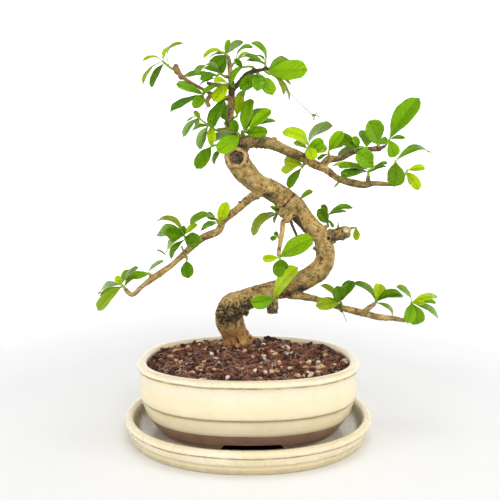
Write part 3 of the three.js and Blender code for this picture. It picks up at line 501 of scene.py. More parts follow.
finish_piece(saucer, glaze_look("saucer_glaze_fine", False), "saucer_glaze", "saucer")
finish_piece(pot, glaze_look("pot_glaze_fine", True), "pot_glaze", "pot")

look = Look("mesh_plastic")
net = look.done(look.mix(look.noise(300), (0.012, 0.014, 0.014, 1), (0.03, 0.032, 0.03, 1)), 0.5,
                look.bump(look.noise(900), 0.0002, 0.4))
for name in ("drain_mesh_left", "drain_mesh_right"):
    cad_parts[name].data.materials.clear()
    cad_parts[name].data.materials.append(net)


# ---- Wood: the rows of the source [x, y, z, radius]

TRUNK = rows("""
    -6 30 34 11.4, -6 30 43 12.1, -6 30 51 12.5, -9 29 60.7 11.9, -12 26 70.4 10.8, -16 21 83.2 11, -14 16 93 10.6,
    -3 13 100 8.8, 15 11 107 7.4, 31 10 111 7.9, 48 9 118.5 8.1, 58.5 8 127.5 8, 61 9 136 7.1, 58.5 10 149 6.9,
    47 11 162 7.5, 33 12 178 8.3, 20 12 187 8, 5.4 10 194.3 8, -4.8 8 204.4 9.2, -9.6 6 211.6 8.9""")
# Each branch: darkness of its bark, and its rows
BRANCHES = [
    (0.64, rows("""-7 10 210 5.6, -7 13 222 4.8, -12 14 230 4, -15 14 238 3.6, -14 13 251 3, -13 12 261 2.6,
        -13 11 268 2.4, -14 10 280 2, -15 10 289 1.5""")),
    (0.9, rows("-14 12 264 2, -7 8 270 2, -1 6 276 1.8, 6 4 278 1.6, 15 3 279 1.2, 22 2 280 1.1")),
    (0.6, rows("-13 11 268 1.8, -20 9 268 1.8, -29 8 269 1.6, -32 7 270 1.2")),
    (0.35, rows("""-14 12 259 2, -23 10 260 1.6, -31 8 263 1.4, -40 4 267 1.2, -49 1 272 1.5, -53 0 276 2.1,
        -54 0 279 1.4""")),
    (0.6, rows("-28 9 262 1.5, -32 8 256 1.8, -30 8 252 1.6")),
    (0.45, rows("""-7 12 217 5.2, -2 13 225 5.2, 7 12 226 5.2, 18 11 224 4.6, 31 9 218 3.9, 42 7 213 3.5,
        52 5 207 3.3, 60 3 203 2.9, 69 1 196 2.5, 82 -2 192 2.9, 88 -3 191 2.7, 96 -4 192 1.9, 110 -6 191 1.5""")),
    (0.3, rows("19 11 223 2, 21 11 229 1.9")),
    (0.6, rows("57 4 205 2.7, 62 5 211 3, 71 6 212 2.2, 82 7 217 2, 92 8 219 1.8, 103 9 220 2.2")),
    (0.5, rows("91 -4 191 1.9, 90 -7 196 1.6")),
    (0.3, rows("""13 8 188 4, 1 4 181 3.3, -9 2 172 3.1, -19 0 164 2.9, -23 -2 156 2.9, -34 -5 151 2.7,
        -45 -8 142 2.5, -57 -11 131 2.1, -71 -14 121 2.4, -79 -16 115 1.7, -86 -18 109 1.7, -90 -18 112 1.6""")),
    (0.35, rows("""22 10 109 3.6, 33 8 105 3.1, 44 6 104 2.9, 54 4 102 2.5, 66 2 98 2.3, 81 0 94 2.5, 90 -2 92 2.7,
        99 -5 90 2.4, 113 -8 89 1.8, 118 -10 88 1.4""")),
    (0.4, rows("88 -2 92 1.9, 93 -2 96 1.9, 97 -2 99 1.5")),
    (0.25, rows("19 9 110 4.8, 19 5 100 4.1, 19 4 91 4")),
    (0.3, rows("58 11 150 5.2, 68 13 152 5.2, 80 16 155 4.8")),
    (0.3, rows("34 10 171 3.8, 31 4 165 2.7, 27 0 163 2.1, 26 -2 155 1.9, 24 -5 145 1.8, 23 -8 138 1.6")),
    (0.8, rows("33 8 166 1.2, 34 6 161 1.2, 38 6 152 1")),
    (0.4, rows("56 14 154 2.8, 63 28 158 1.7, 67 36 159 1.4")),
    (0.4, rows("35 14 173 2.4, 40 24 177 1.4")),
]
SCAR = np.array([-9.6, 0, 211.8])
SCAR_SHIFT = np.array([0.6, 0, -0.4])
STUB = np.array([77.6, 10, 156])
ROOT_FLARES = [
    rows("-7 27 70 7.2, -4 26 62 6.4, -1.5 25 54 6, -1 25 46 6"),
    rows("-12 27 66 7, -14 25 58 6.6, -15.5 25 50 6"),
]
BURRS = rows("""
    6 3 190 3.2, 12 4 188 3, 42 2 111 2.6, -7 8 94 5, -22 10 90 4.2, 28 6 170 4.5, 64 9 150 4, -51 .5 272.5 2.2,
    -53.5 0 276.5 2.7, -54.5 0 280 2.1""")
ROOTS = rows("-15 25 53 5.5, -.5 25 52 5.4, -7 38 53 5.5")
# Rings of bark round closed wounds and the cut stub: [x, y, z], reach, thickness
HEALED = [([6, 3.4, 189], 2.0, 0.9), ([12.4, 2.6, 187], 2.0, 0.9), ([77.6, 10.4, 156], 2.5, 1.3)]
LINE_STEP = 0.8
BARK_VOXEL = 0.5


def smooth_line(nodes, spacing=LINE_STEP):
    """Points about spacing apart on the centripetal curve through the nodes, with radii."""
    nodes = np.asarray(nodes, float)
    points = nodes[:, :3]
    padded = np.vstack([2 * points[0] - points[1], points, 2 * points[-1] - points[-2]])
    out = []
    for i in range(len(points) - 1):
        p0, p1, p2, p3 = padded[i:i + 4]
        d0, d1, d2 = (norm(b - a) ** 0.5 for a, b in ((p0, p1), (p1, p2), (p2, p3)))
        m1 = ((p1 - p0) / d0 - (p2 - p0) / (d0 + d1) + (p2 - p1) / d1) * d1
        m2 = ((p2 - p1) / d1 - (p3 - p1) / (d1 + d2) + (p3 - p2) / d2) * d1
        steps = max(2, int(round(norm(p2 - p1) / spacing)))
        for t in [k / steps for k in range(steps)]:
            p = ((2 * p1 - 2 * p2 + m1 + m2) * t ** 3 + (-3 * p1 + 3 * p2 - 2 * m1 - m2) * t ** 2 + m1 * t + p1)
            ease = t * t * (3 - 2 * t)
            out.append([*p, nodes[i, 3] * (1 - ease) + nodes[i + 1, 3] * ease])
    out.append(list(nodes[-1]))
    return np.array(out)


def tube(line, sides, shape=None):
    """Closed tube round a line of [x, y, z, radius]; shape(k, turn) scales the radius."""
    centres = line[:, :3]
    along = np.gradient(centres, axis=0)
    along /= norm(along, axis=1)[:, None]
    across = np.array([0.0, 1.0, 0.0]) if abs(along[0][1]) < 0.9 else np.array([1.0, 0.0, 0.0])
    points = []
    for k, (centre, direction) in enumerate(zip(centres, along)):
        across = across - direction * across.dot(direction)
        across /= norm(across)
        over = np.cross(direction, across)
        for turn in turns(sides):
            radius = line[k, 3] * (shape(k, turn) if shape else 1)
            points.append(centre + radius * (cos(turn) * across + sin(turn) * over))
    last = (len(line) - 1) * sides
    caps = [list(range(sides))[::-1], list(range(last, last + sides))]
    return points, caps + quads(0, len(line), sides)


def lump(centre, radii, rings=10, sides=16):
    """Ellipsoid; radii is one number or three."""
    centre, radii = np.array(centre, float), np.ones(3) * radii
    points = [centre + radii * (sin(v) * cos(u), sin(v) * sin(u), cos(v))
              for v in [pi * i / rings for i in range(1, rings)] for u in turns(sides)]
    points += [centre + (0, 0, radii[2]), centre - (0, 0, radii[2])]
    top, last_ring = (rings - 1) * sides, (rings - 2) * sides
    faces = fan(top, 0, sides) + fan(top + 1, last_ring, sides, flip=True)
    return points, faces + quads(0, rings - 1, sides, flip=True)


def torus(centre, major, minor, steps=20, sides=8):
    """Uneven ring that faces the front."""
    points = []
    for u in turns(steps):
        wobble = 1 + 0.10 * sin(2 * u + 1) + 0.05 * sin(5 * u)
        for v in turns(sides):
            reach = major * wobble + minor * cos(v)
            points.append(np.asarray(centre) + (reach * cos(u), minor * sin(v), reach * sin(u)))
    return points, quads(0, steps, sides, closed=True)


# ---- Sprays: name without its spray_ and tone of the material slot | rows of the green shoot | leaves.
# A leaf is its letter, place along the shoot, direction, lean, length, share seen, arch and breadth. The last
# two are left out where they are LEAF_DEFAULTS, and a share below 0 shows the underside. The letter is the
# colour: Y yellow green, B bright green, M mid green, D dark green, O olive, G grey underside.

LEAF_DEFAULTS = [10, 46]
SPRAYS = """
left_tip fresh | -57 0 278, -64 -2 283 | Y 1 -175 20 15 .6 22, Y 1 68 -20 16 .7 12, O 1 -127 15 24 .6 14 30,
  D .8 -125 -15 21 -.6 15 30, O .3 49 34 21.5 .6 30 30;
left_twig dark | -34 4 261, -34 -1 258 | M .6 163 20 22 .8 4, Y .6 162 -28 17 .6, D .6 -153 2 28.5 .6 5,
  M .6 -117 34 16.5 1 10 51;
apex_left green | -16 10 291, -19 8 293 | B .4 74 20 11 .9 8, G .2 44 -20 19 -.6 20 35, Y .6 -166 10 17.5 .7 24,
  D .5 -170 -28 17.5 .6 15, D .3 -141 12 16.5 1 10 53, D .3 -113 -8 15 1 10 52;
crown_left green | -18 9 275, -22 5 276, -25 3 272 | M .7 172 -28 34 .6 3 42, B .4 -154 58 32.5 .6 20 30,
  M .7 -162 15 14.5 .9 15, M 1 -161 -28 16 .7 15, M .5 162 8 12.5 .7;
crown_bright bright | -13 5 269, -16 0 267 | Y .8 -169 50 15.5 .9 15, Y .6 -132 2 18 1 10 51, M .6 -46 34 7 .9,
  B 1 -153 19 21 .6 10 43;
crown_dark dark | -16 9 260, -19 3 257 | D .8 -108 20 27.5 .8 8, D .7 -87 -10 17 .8 8;
leader_right green | -12 8 284, -9 6 286 | M .8 30 30 17.5 .6 24, Y .8 21 -28 20 .6 20 42, M .6 -10 26 23 .6 20 34;
fork_left green | 4 3 280, 0 0 280, -4 -1 279 | B .2 -137 25 23 .6 20 42, D 1 145 34 9.5 1 10 48;
fork_arches fresh | 13 2 281, 13 0 284 | M .6 130 20 18 .7 26, B 1 153 -36 16 .6 15, B .2 154 18 5.5 .9,
  B .2 165 -14 16.5 .6 12;
fork_below green | 7 1 275, 11 -2 272 | D .2 -138 15 19.5 1 10 51, M .6 -101 42 21 1 8, B 1 -66 30 20.5 1 8 49;
fork_end green | 13 -1 276, 16 -4 273 | B .5 -4 26 32 1, M .5 36 -22 22.5 .9 15, O 1 -50 -22 25.5 .6 16 30,
  O 1 -60 24 22 .6 14 30, O 1 -24 -6 18 .6 10 35;
centre_right green | -4 5 231, -2 1 232, 1 -2 233 | B .2 79 -6 27 .8 6, B .2 53 -28 31 .8 8, B .9 39 10 22 .9 8,
  M 1 19 -20 24 .6 10 43, M .2 0 9 18.5 1;
centre_left green | -6 6 229, -8 2 231 | B .2 -139 33 26.5 1 8, G 1 -166 -28 27 -.6 10 33, D 1 117 30 11 1 8 66;
leader_back fresh | -12 17 245, -9 19 247 | Y .9 80 7 16.5 1 8 54, B 1 73 -20 26 .7 8;
drooping olive | -25 8 234, -29 4 236, -34 1 239, -39 -1 243 | Y .3 -81 20 14 1 10 50, O .3 -165 -20 17.5 .6 20 44,
  G .4 -111 10 20 -.7, G .9 -118 -28 7 -1 10 51, G .9 -129 4 19 -.6 14 34, O .8 130 20 8 1 10 49,
  O 1 -144 18 9 .6 10 35, Y .2 -91 -22 15.5 .7;
shoulder dark | -17 9 221, -23 5 222, -28 2 221 | D 1 -122 18 22.5 1 2, D .2 -118 0 16 .6;
upper_first bright | 45 3 217, 46 0 220 | Y 1 155 20 24.5 .9 24, O .5 148 -28 13.5 .9, G 1 42 -20 28.5 -.6 20 41,
  M .2 31 20 14.5 1 10 64, Y 1 -73 34 13.5 1 10 66, Y .2 8 -8 16 1;
upper_second olive | 62 2 214, 61 -1 216 | B 1 57 28 19 .9 12, O 1 27 -28 18 -.6 15, D .2 -152 30 12 .6 10 43;
upper_fork green | 82 4 218, 85 1 220, 90 -1 219 | D .3 151 2 20 1, G 1 -166 -36 25 -.6 15 30, M .4 124 20 10 1 10 55,
  M 1 79 -44 22 1 6 57;
upper_front green | 90 -8 198, 90 -10 201, 93 -12 203 | M 1 145 26 20 1 6 66, M .5 175 6 24 .6 10 36,
  D .3 -169 23 25 .6 10 45, D .2 22 -15 15.5 .6 10 40, D 1 18 24 10.5 .6, Y .2 167 -16 28.5 .6 10 30;
upper_fork_end green | 101 6 222, 98 4 224 | M .2 123 34 23 1 6 66, M .2 37 -14 9.5 1 10 57;
upper_tall green | 107 10 222, 110 9 227 | M 1 57 20 36.5 .8 6, B 1 -64 -22 15.5 1 6 66, M 1 4 10 12 .7;
upper_end dark | 112 -7 194, 113 -8 201, 110 -8 208 | D 1 -97 18 20.5 1 5 66, M 1 15 -20 33 .6 20 34;
upper_low bright | 114 -4 192, 118 -3 197, 121 -2 202 | Y .9 -61 18 17 1, Y .8 -62 -22 10.5 .9, Y 1 7 10 13 .9 8;
under_upper fresh | 44 12 208, 43 16 206 | Y .3 158 -28 18 1 10 53, Y 1 -153 58 31.5 .6, M 1 -122 10 20.5 .7;
bend_left green | 25 14 169, 22 12 171 | O .2 -140 20 29 .6 22 41, D .2 -151 -20 18.5 .7 15, B .2 145 26 10 .7,
  B .2 114 -22 10 .7, O .2 -119 24 9.5 -.7;
bend_dark dark | 22.5 -4 152, 20.5 -5 152 | D .2 -156 12 6 1 10 66, D .2 117 34 5 1 10 66;
bend_tip green | 23 -9 137, 24 -11 135 | B .5 32 20 30.5 .9, Y .5 -174 -20 13.5 1 5, D 1 -99 34 15.5 1 8 59,
  D .8 -56 10 9.5 1 8 63;
stub bright | 20 0 102, 20 -4 104 | Y .2 56 15 33 .6 12, M 1 -176 34 22 1 8 48;
back_right dark | 67 37 160, 67 38 168 | D .2 129 30 17.5 1 10 54, D 1 114 -20 11 1 15, M 1 17 10 22 .6 20 32,
  M 1 11 -14 18 .6 10 30, D .6 -61 25 9 .8;
cut_stub olive | 82.5 14 158, 85.5 12 158 | O 1 -96 30 11.5 1 10 47;
back_trunk fresh | 40 25 178, 42 27 181 | B .9 33 20 13.5 .7;
lower_first green | 72 -2 100, 71 -4 102 | O .9 -173 20 21.5 .9 8, O 1 142 -10 19.5 .6 15 36, D .9 111 34 17 1 8 63,
  D .9 52 -28 21 .8, D .9 -82 24 9 .6 10 41;
lower_twig bright | 98 -2 100, 99 -4 102 | D .2 138 20 27 .6 18 30, Y .3 68 -22 16 1 6 66, D .2 16 10 21.5 .6 25 41,
  O .2 -42 -15 20 .6 25 32;
lower_end green | 119 -11 89, 121 -11 95, 123 -12 102 | M 1 136 20 20.5 .6 15 36, Y 1 11 -14 22.5 .6 12 33,
  B 1 1 6 18 .6 10 30, M 1 -29 -15 27.5 .6 10 30, M 1 -111 25 16.5 1 8 55, M 1 -70 -8 18 1 8 66, Y 1 4 26 9.5 .8;
left_first fresh | -22 -5 161, -24 -8 165 | Y .2 67 20 18.5 1, M 1 -169 26 21.5 .6 25, D .7 144 -28 11.5 1,
  B .5 -153 42 15.5 .6, M .2 -156 31 16 .6 10 31;
left_second dark | -46 -9 147, -48 -11 153 | O 1 153 -4 23.5 .6 36 32, Y 1 41 -10 13 .8, D 1 94 10 7.5 .8,
  D 1 161 42 16.5 1 8 63, M 1 177 -36 28 .8 8, O 1 -139 -36 25.5 .6 10 39, O .9 -152 18 11.5 .6 10 44,
  D .5 -125 15 18.5 .6 12, D .8 -18 34 16.5 1 8 66;
left_hanging dark | -46 -11 136, -46 -13 134 | D 1 -79 34 15 1 6 64;
left_knob green | -73 -15 124, -75 -17 125 | G .7 37 20 17.5 .6 10 30, B .2 -168 28 12.5 .9 15;
left_end olive | -91 -19 114, -93 -21 117 | O .2 42 -20 17.5 .7 15, D 1 43 22 21.5 .6 8 30, Y 1 105 26 8.5 1 10 66,
  M 1 68 -28 13 .9, G 1 -157 -36 28 .6 12 31, M .3 -160 9 18 -.6 12 30, O .6 -134 20 24.5 .8"""


def read_sprays():
    sprays = {}
    for entry in SPRAYS.split(";"):
        head, shoot, leaves = entry.split("|")
        name, tone = head.split()
        leaves = [row.split() for row in leaves.split(",")]
        sprays["spray_" + name] = (tone, rows(shoot), [(row[0], [float(part) for part in row[1:]]) for row in leaves])
    return sprays


# ---- The wood's mesh: tubes and lumps fused, then shaped as bark

LINES = [(0.0, smooth_line(TRUNK))] + [(dark, smooth_line(nodes)) for dark, nodes in BRANCHES]


def nearest_on_wood(target):
    points = np.vstack([line[:, :3] for _, line in LINES])
    return points[norm(points - target, axis=1).argmin()]


def bark_tube(index, line):
    phase = index * 2.1

    def shape(k, turn):
        v = k * LINE_STEP
        swell = 0.05 * sin(v * 0.21 + phase) * sin(v * 0.083 + 1 + phase)
        flute = 0.035 * sin(5 * turn + v * 0.07) + 0.02 * sin(9 * turn - v * 0.11 + phase)
        return 1 + swell + (flute if index == 0 else 0.5 * flute)

    return tube(line, 32 if index == 0 else 18, shape)


# Warts, knots and leaf scars of the bark: [x, y, z, radius]
WARTS = rows("""
    4.8 3 199.9 1.2, 17.5 8 195.8 1.5, -1 4.5 194.4 1.7, 4.1 5.5 190.8 1.6, 7 4 181.7 1.8, -.6 1.5 179.6 1.5,
    -6.4 1.3 177.8 1.6, 21.8 5 187.5 1.1, -6.3 1.6 201.2 1.2, 51 5 161.3 1.6, 53.7 5 157.1 1.3, 62.7 6 150.2 2.6,
    59.7 4 144.1 1.3, 57.4 4 138.7 1.5, 56.2 1.8 130.8 1.7, 50 2.6 120 1.7, 38.6 5 170.7 1.8, 52.3 9 142.2 1.6,
    -20 10 93 2.4, -13 7.5 97 2.2, -22 12 84 2.6, -15 9 88 2.4, -8 8.5 89 2.6, -3 6.5 97 2.8, -2 8 91 2.8,
    2 6.5 104 2.2, -18 14 78 2.2, -10 14.5 80 2.3, 14 6 112.5 2.2, 9 7 111.5 1.8, 22 6 103.5 2, 32 5 106 1.9,
    1.2 25 67 2.4, 27 6.5 172 2.6, 33 7 166 2.4, 40 6.5 162 2, 44 7 156 1.6, 24 7.5 175 2, 68 8 147 1.6,
    74 11 150 1.6, 66 8 155 1.4, 71 10 159 1.2""")


def small_nodes():
    """Leaf scars standing out along the branches."""
    draw = np.random.default_rng(17)
    nodes = []
    for _, line in LINES[1:]:
        k = draw.integers(8, 14)
        while k < len(line) - 4:
            turn = draw.uniform(0, FULL_TURN)
            radius = line[k, 3]
            along = line[k + 1, :3] - line[k - 1, :3]
            along /= norm(along)
            across = np.cross(along, (0, 1, 0))
            across /= max(norm(across), 1e-6)
            over = np.cross(along, across)
            place = line[k, :3] + radius * 0.86 * (cos(turn) * across + sin(turn) * over)
            nodes.append([*place, radius * draw.uniform(0.28, 0.42)])
            k += draw.integers(6, 13)
    return nodes


sprays = read_sprays()
SPUR_RADII = [1.75, 1.6, 1.4, 1.3, 1.35, 1.5, 1.45, 1.1]
parts = [bark_tube(i, line) for i, (_, line) in enumerate(LINES)]
parts += [lump(b[:3], b[3]) for b in BURRS + ROOTS]
parts += [tube(smooth_line(nodes), 18) for nodes in ROOT_FLARES]
parts.append(lump(SCAR + (0, 8.5, -0.5), (9, 9.5, 9)))
parts.append(torus(SCAR + SCAR_SHIFT + (0, -2.1, 0), 6.7, 2.1, 40, 12))
parts += [torus(*ring) for ring in HEALED]
parts += [lump(w[:3], w[3], 6, 10) for w in WARTS + small_nodes()]
for _, shoot, _ in sprays.values():
    spur = np.linspace(nearest_on_wood(np.array(shoot[0], float)), shoot[0], len(SPUR_RADII))
    parts.append(tube(np.c_[spur, SPUR_RADII], 12))
wood = Heap(parts).mesh("wood_fine")
use_modifier(wood, "REMESH", mode="VOXEL", voxel_size=BARK_VOXEL * MM, use_smooth_shade=True)
use_modifier(wood, "SMOOTH", factor=0.5, iterations=2)


def read_vertices(key):
    flat = np.zeros(len(wood.data.vertices) * 3)
    wood.data.vertices.foreach_get(key, flat)
    return flat.reshape(-1, 3)


co, normal = read_vertices("co") / MM, read_vertices("normal")
stations = np.vstack([np.c_[line, np.full(len(line), i), np.arange(len(line)) * LINE_STEP, np.full(len(line), dark)]
                      for i, (dark, line) in enumerate(LINES)])
tree = kdtree.KDTree(len(stations))
for i, row in enumerate(stations):
    tree.insert(row[:3], i)
tree.balance()
radius_mm, line_id, along_mm, branch_dark = stations[[tree.find(p)[1] for p in co], 3:].T


def noise_at(points, scale, seed, octaves=1):
    total = np.zeros(len(points))
    for octave in range(octaves):
        places, shift = points * (scale * 2 ** octave), Vector((seed, seed * 1.7, octave * 5.1))
        total += np.array([noise.noise(Vector(p) + shift) for p in places]) / 1.6 ** octave
    return total


def near(*places):
    """Sum of shares that fade away from places, each x, y, z, radius and strength."""
    return sum(strength * held(1 - norm(co - place, axis=1) / radius) for *place, radius, strength in places)


coarse, medium, fine = noise_at(co, 0.14, 3), noise_at(co, 0.45, 11, 2), noise_at(co, 1.1, 23, 2)
rings = noise_at(np.c_[along_mm * 0.55, line_id * 9.7, coarse * 0.6], 1.0, 31)
rough_place = held(near(
    (-19, 9, 88, 13, 1.5), (-8, 8, 91, 12, 1.5), (0, 6, 98, 9, 1), (42, 2, 111, 8, 0.8), (30, 4, 106, 10, 0.8),
    (-6, 11, 219, 12, 1), (29, 6, 171, 6, 1.1), (37, 6, 163, 7, 0.8), (66, 8, 150, 9, 0.8), (77, 11, 151, 7, 0.6),
    (19, 4, 95, 9, 1.3), (8, 6, 109, 7, 0.6)))
small = np.clip(radius_mm / 6, 0.3, 1)
ridged = 1 - 2.2 * np.abs(medium)

# Splits of the bark: lines of places. The seam shows as a colour, the cracks go deep.
SEAM = [(36.5, 8.5, 186), (35.4, 6.3, 183.7), (31, 3.8, 178.5), (26.6, 7, 174)]
CRACKS = [[(-12, 16, 76), (-8, 17, 64)], [(-16, 17, 72), (-13, 19, 60)], [(-6.5, -1.5, 206), (-1.5, 0.5, 208.5)],
          [(-10, -4, 216), (-5.5, -3, 213)], [(-9, -4, 211), (-6, -3, 209)],
          [(-5.6, -3, 216), (-4.4, -3, 210), (-7, -3.4, 206.4)], [(-14.5, -2, 214), (-9, -3, 217)]]


def split_along(line):
    shares = []
    for a, b in zip(np.array(line[:-1]), np.array(line[1:])):
        share = held((co - a) @ (b - a) / ((b - a) @ (b - a)))
        gap = norm(co - (a + share[:, None] * (b - a)) - 0.3 * fine[:, None], axis=1)
        shares.append(held(1.15 - gap / 1.1))
    return np.max(shares, axis=0)


seam = split_along(SEAM)
crack = np.max([seam] + [split_along(line) for line in CRACKS], axis=0)
hole = held(near((42, 1, 111, 3.2, 1), (29, 7, 172.5, 3.0, 1), (62.3, 4.6, 150, 2.2, 1), (6, 3.2, 189, 1.7, 1),
                    (12.4, 2.4, 187, 1.7, 1)))
pits = np.max([near((x + 0.3, y - radius, z - 0.2, radius * 0.75, 1)) for x, y, z, radius in WARTS], axis=0)

# The scar's heart is dished, and the stub's end is cut flat
from_scar = co - SCAR - SCAR_SHIFT
across_scar = norm(from_scar * (1, 0, 1.12), axis=1)
heart = held((5.0 - across_scar) / 1.4) * (co[:, 1] < 4)
co[:, 1] += np.clip(0.4 + 0.9 * medium - co[:, 1], 0, 4) * heart
across_stub = norm((co - STUB) * (1, 0, 1.3), axis=1)
cut_face = held((2.3 - across_stub) / 0.5) * (co[:, 1] < 14)

move = 0.5 * coarse * small + (0.30 + 0.5 * rough_place) * medium * small + (0.16 + 0.45 * rough_place) * fine
move += 0.9 * rough_place * (ridged - 0.6) + 0.45 * held(rings) * small
move = move * (1 - 0.8 * cut_face) - 0.5 * crack - 1.1 * hole - 0.7 * pits - 0.3 * heart
co += normal * move[:, None]
wood.data.vertices.foreach_set("co", (co * MM).ravel())
wood.data.update()

bearing = np.arctan2(co[:, 2] - SCAR[2] - SCAR_SHIFT[2], co[:, 0] - SCAR[0] - SCAR_SHIFT[0])


def ring_round_scar(reach):
    return held(1 - np.abs(across_scar - reach - 0.5 * medium) / 0.8)


vertex_values(
    wood,
    dark=held(branch_dark * 1.1 + 0.2 * rough_place),
    deep=held(1.6 * (crack - seam) + 0.5 * seam + 1.9 * hole + 1.1 * pits),
    foot=held((79 - co[:, 2] + 3 * medium) / 7) * (line_id == 0),
    # low: hollows of the relief, which the material paints dark brown as painted shade
    low=held(-(medium * 0.8 + fine * 0.6 + coarse * 0.3) - rough_place * (ridged - 0.5)),
    # below: how much the bark faces downwards; the material darkens it there with moss colour and painted shade
    below=held(0.15 - 0.9 * normal[:, 2] + 0.5 * coarse),
    rough_bark=rough_place,
    scar=heart,
    rim_gap=(co[:, 1] < 2) * np.maximum(ring_round_scar(8.9) * (bearing > -0.4) * (bearing < 1.9),
                                        0.8 * ring_round_scar(5.2)),
    callus=held(1.1 - np.abs(across_scar - 6.9 - medium) / 1.5) * (co[:, 1] < -1),
    seam=seam,
    red=(line_id == 4) * held(1.1 - radius_mm / 9),
    cut_face=cut_face,
)

look = Look("bark_fine")
dark, rough_bark = look.value("dark"), look.value("rough_bark")
bent = look.warped(180, 0.006)
wrinkle = look.noise(110, 5, 0.75, where=look.stretched(1, 1, 3.4))
split = look.times(look.band(look.cells(170, "DISTANCE_TO_EDGE", bent), 0.012, 0.05, 1, 0),
                   look.spots(60, 3, 0.55, 0.46, 0.58))
fissure = look.band(look.cells(230, "DISTANCE_TO_EDGE", bent), 0.08, 0.22, 1, 0)
tan = look.layers(
    look.blotched(60, 6, 0.7, 0.36, 0.64, "#d9b262", "#997634"),
    ((170, 5, 0.7, 0.42, 0.62), 0.6, "#e3c98e"),
    ((200, 6, 0.8, 0.50, 0.66), 0.6, "#745930"),
    ((620, 4, 0.7, 0.52, 0.70), 0.45, "#54401f"),
    (look.band(wrinkle, 0.56, 0.66), 0.6, "#5f4720"),
    (split, 0.6, "#4d3818"))
base = look.layers(look.blotched(150, 5, 0.7, 0.38, 0.62, "#dba65c", "#a87339"),
                   ((420, 4, 0.7, 0.52, 0.66), 0.7, "#6b4220"))
crag = look.layers(look.blotched(200, 5, 0.7, 0.42, 0.58, "#6c5230", "#b6965c"),
                   ((420, 4, 0.7, 0.52, 0.62), 0.8, "#c2a878"), (fissure, 0.95, "#140d08"))
tan = look.layers(tan, ("foot", 1, base), (look.band(rough_bark, 0.2, 0.6), 0.9, crag))
soot = look.blotched(240, 5, 0.7, 0.3, 0.7, "#1f160d", "#5a4526")
sooty = look.plus(look.noise(70, 5, 0.65, distortion=0.6), look.scaled(look.times(dark, dark), 0.45, -0.28),
                  look.times(look.noise(300, 4, 0.7), 0.3))
moss_and_painted_shade = look.blotched(260, 4, 0.7, 0.4, 0.6, "#5e4f1c", "#3c2f16")
heart_wood = look.blotched(420, 5, 0.7, 0.42, 0.6, "#7d6a4e", "#2a1e16")
colour = look.layers(
    tan,
    (look.band(sooty, 0.48, 0.60), 0.9, soot),
    # Downward-facing bark darkened with dark olive: moss colour and painted shade
    (look.times(look.value("below"), look.spots(130, 5, 0.7, 0.3, 0.55)), 0.75, moss_and_painted_shade),
    # Hollows of the bark's relief painted dark brown: painted shade
    (look.band("low", 0.1, 0.8), 0.95, "#2f200f"),
    ((95, 4, 0.7, 0.60, 0.72), 0.35, "#8f9150"),
    ("scar", 1, heart_wood),
    ("callus", 0.45, "#cfb47e"),
    ("rim_gap", 0.85, "#1d130b"),
    ("red", 0.6, "#6b3f26"),
    (look.band("seam", 0.1, 0.6), 0.9, "#4f2814"),
    ("cut_face", 0.9, "#e6dcc0"),
    ("deep", 1, "#170e07"))
height = look.weighed((look.noise(300, 5, 0.75), 1), (look.noise(1100, 3, 0.7), 0.4), (look.noise(190, 4, 0.7), 0.9))
bark = look.done(colour, look.spots(200, 3, 0.55, 0.3, 0.7, 0.62, 0.9), look.bump(height, 0.0014, 1.0))
finish_piece(wood, bark, "bark", "wood")


# ---- Leaves: a grid of points across and along, on the upper side and on the underside

# Half width at places along the leaf, as shares of the largest and of the length
OUTLINE = np.array(rows("""
    0 .05, .05 .09, .12 .24, .2 .45, .3 .69, .42 .9, .54 .99, .66 1, .78 .94, .87 .8, .94 .58, .98 .34, 1 .12"""))
COLUMNS = np.linspace(-1, 1, 11)
STEPS_ALONG = np.array(rows("0 .03 .07 .12 .18 .25 .32 .39 .46 .53 .6 .66 .72 .77 .82 .86 .9 .935 .965 .985 1")[0])
COLUMN_COUNT = len(COLUMNS)
SIDE_COUNT = COLUMN_COUNT * len(STEPS_ALONG)


def leaf_faces():
    c, n = COLUMN_COUNT, SIDE_COUNT
    cells = [a for a in range(n - c) if a % c < c - 1]
    faces = [[a, a + c, a + c + 1, a + 1] for a in cells]
    faces += [[n + a, n + a + 1, n + a + c + 1, n + a + c] for a in cells]
    rim = [*range(c), *range(2 * c - 1, n, c), *range(n - 2, n - c - 1, -1), *range(n - 2 * c, 0, -c)]
    return faces + [[a, b, n + b, n + a] for a, b in zip(rim, rim[1:] + rim[:1])]


LEAF_FACES = leaf_faces()
LEAF_PLACES = {"leaf_s": np.tile(COLUMNS, 2 * len(STEPS_ALONG)), "leaf_t": np.tile(STEPS_ALONG.repeat(COLUMN_COUNT), 2)}
UNDERSIDE = np.repeat([0.0, 1.0], SIDE_COUNT)


def leaf_axes(angle, lean, seen):
    a, t = radians(angle), radians(lean)
    along = np.array([cos(a) * cos(t), -sin(t), sin(a) * cos(t)])
    rising = np.array([-sin(a), 0, cos(a)])
    if rising[2] < 0 or (abs(rising[2]) < 0.2 and rising[0] > 0):
        rising = -rising
    face = np.array([0, -1.0, 0]) * seen + rising * sqrt(1 - seen * seen)
    face -= along * face.dot(along)
    face /= norm(face)
    return along, face, np.cross(along, face)


def shoot_point(shoot, share):
    shoot = np.asarray(shoot, float)
    lengths = norm(np.diff(shoot, axis=0), axis=1)
    left = share * lengths.sum()
    for i, length in enumerate(lengths):
        if left <= length or i == len(lengths) - 1:
            return shoot[i] + (shoot[i + 1] - shoot[i]) * min(1, left / length)
        left -= length


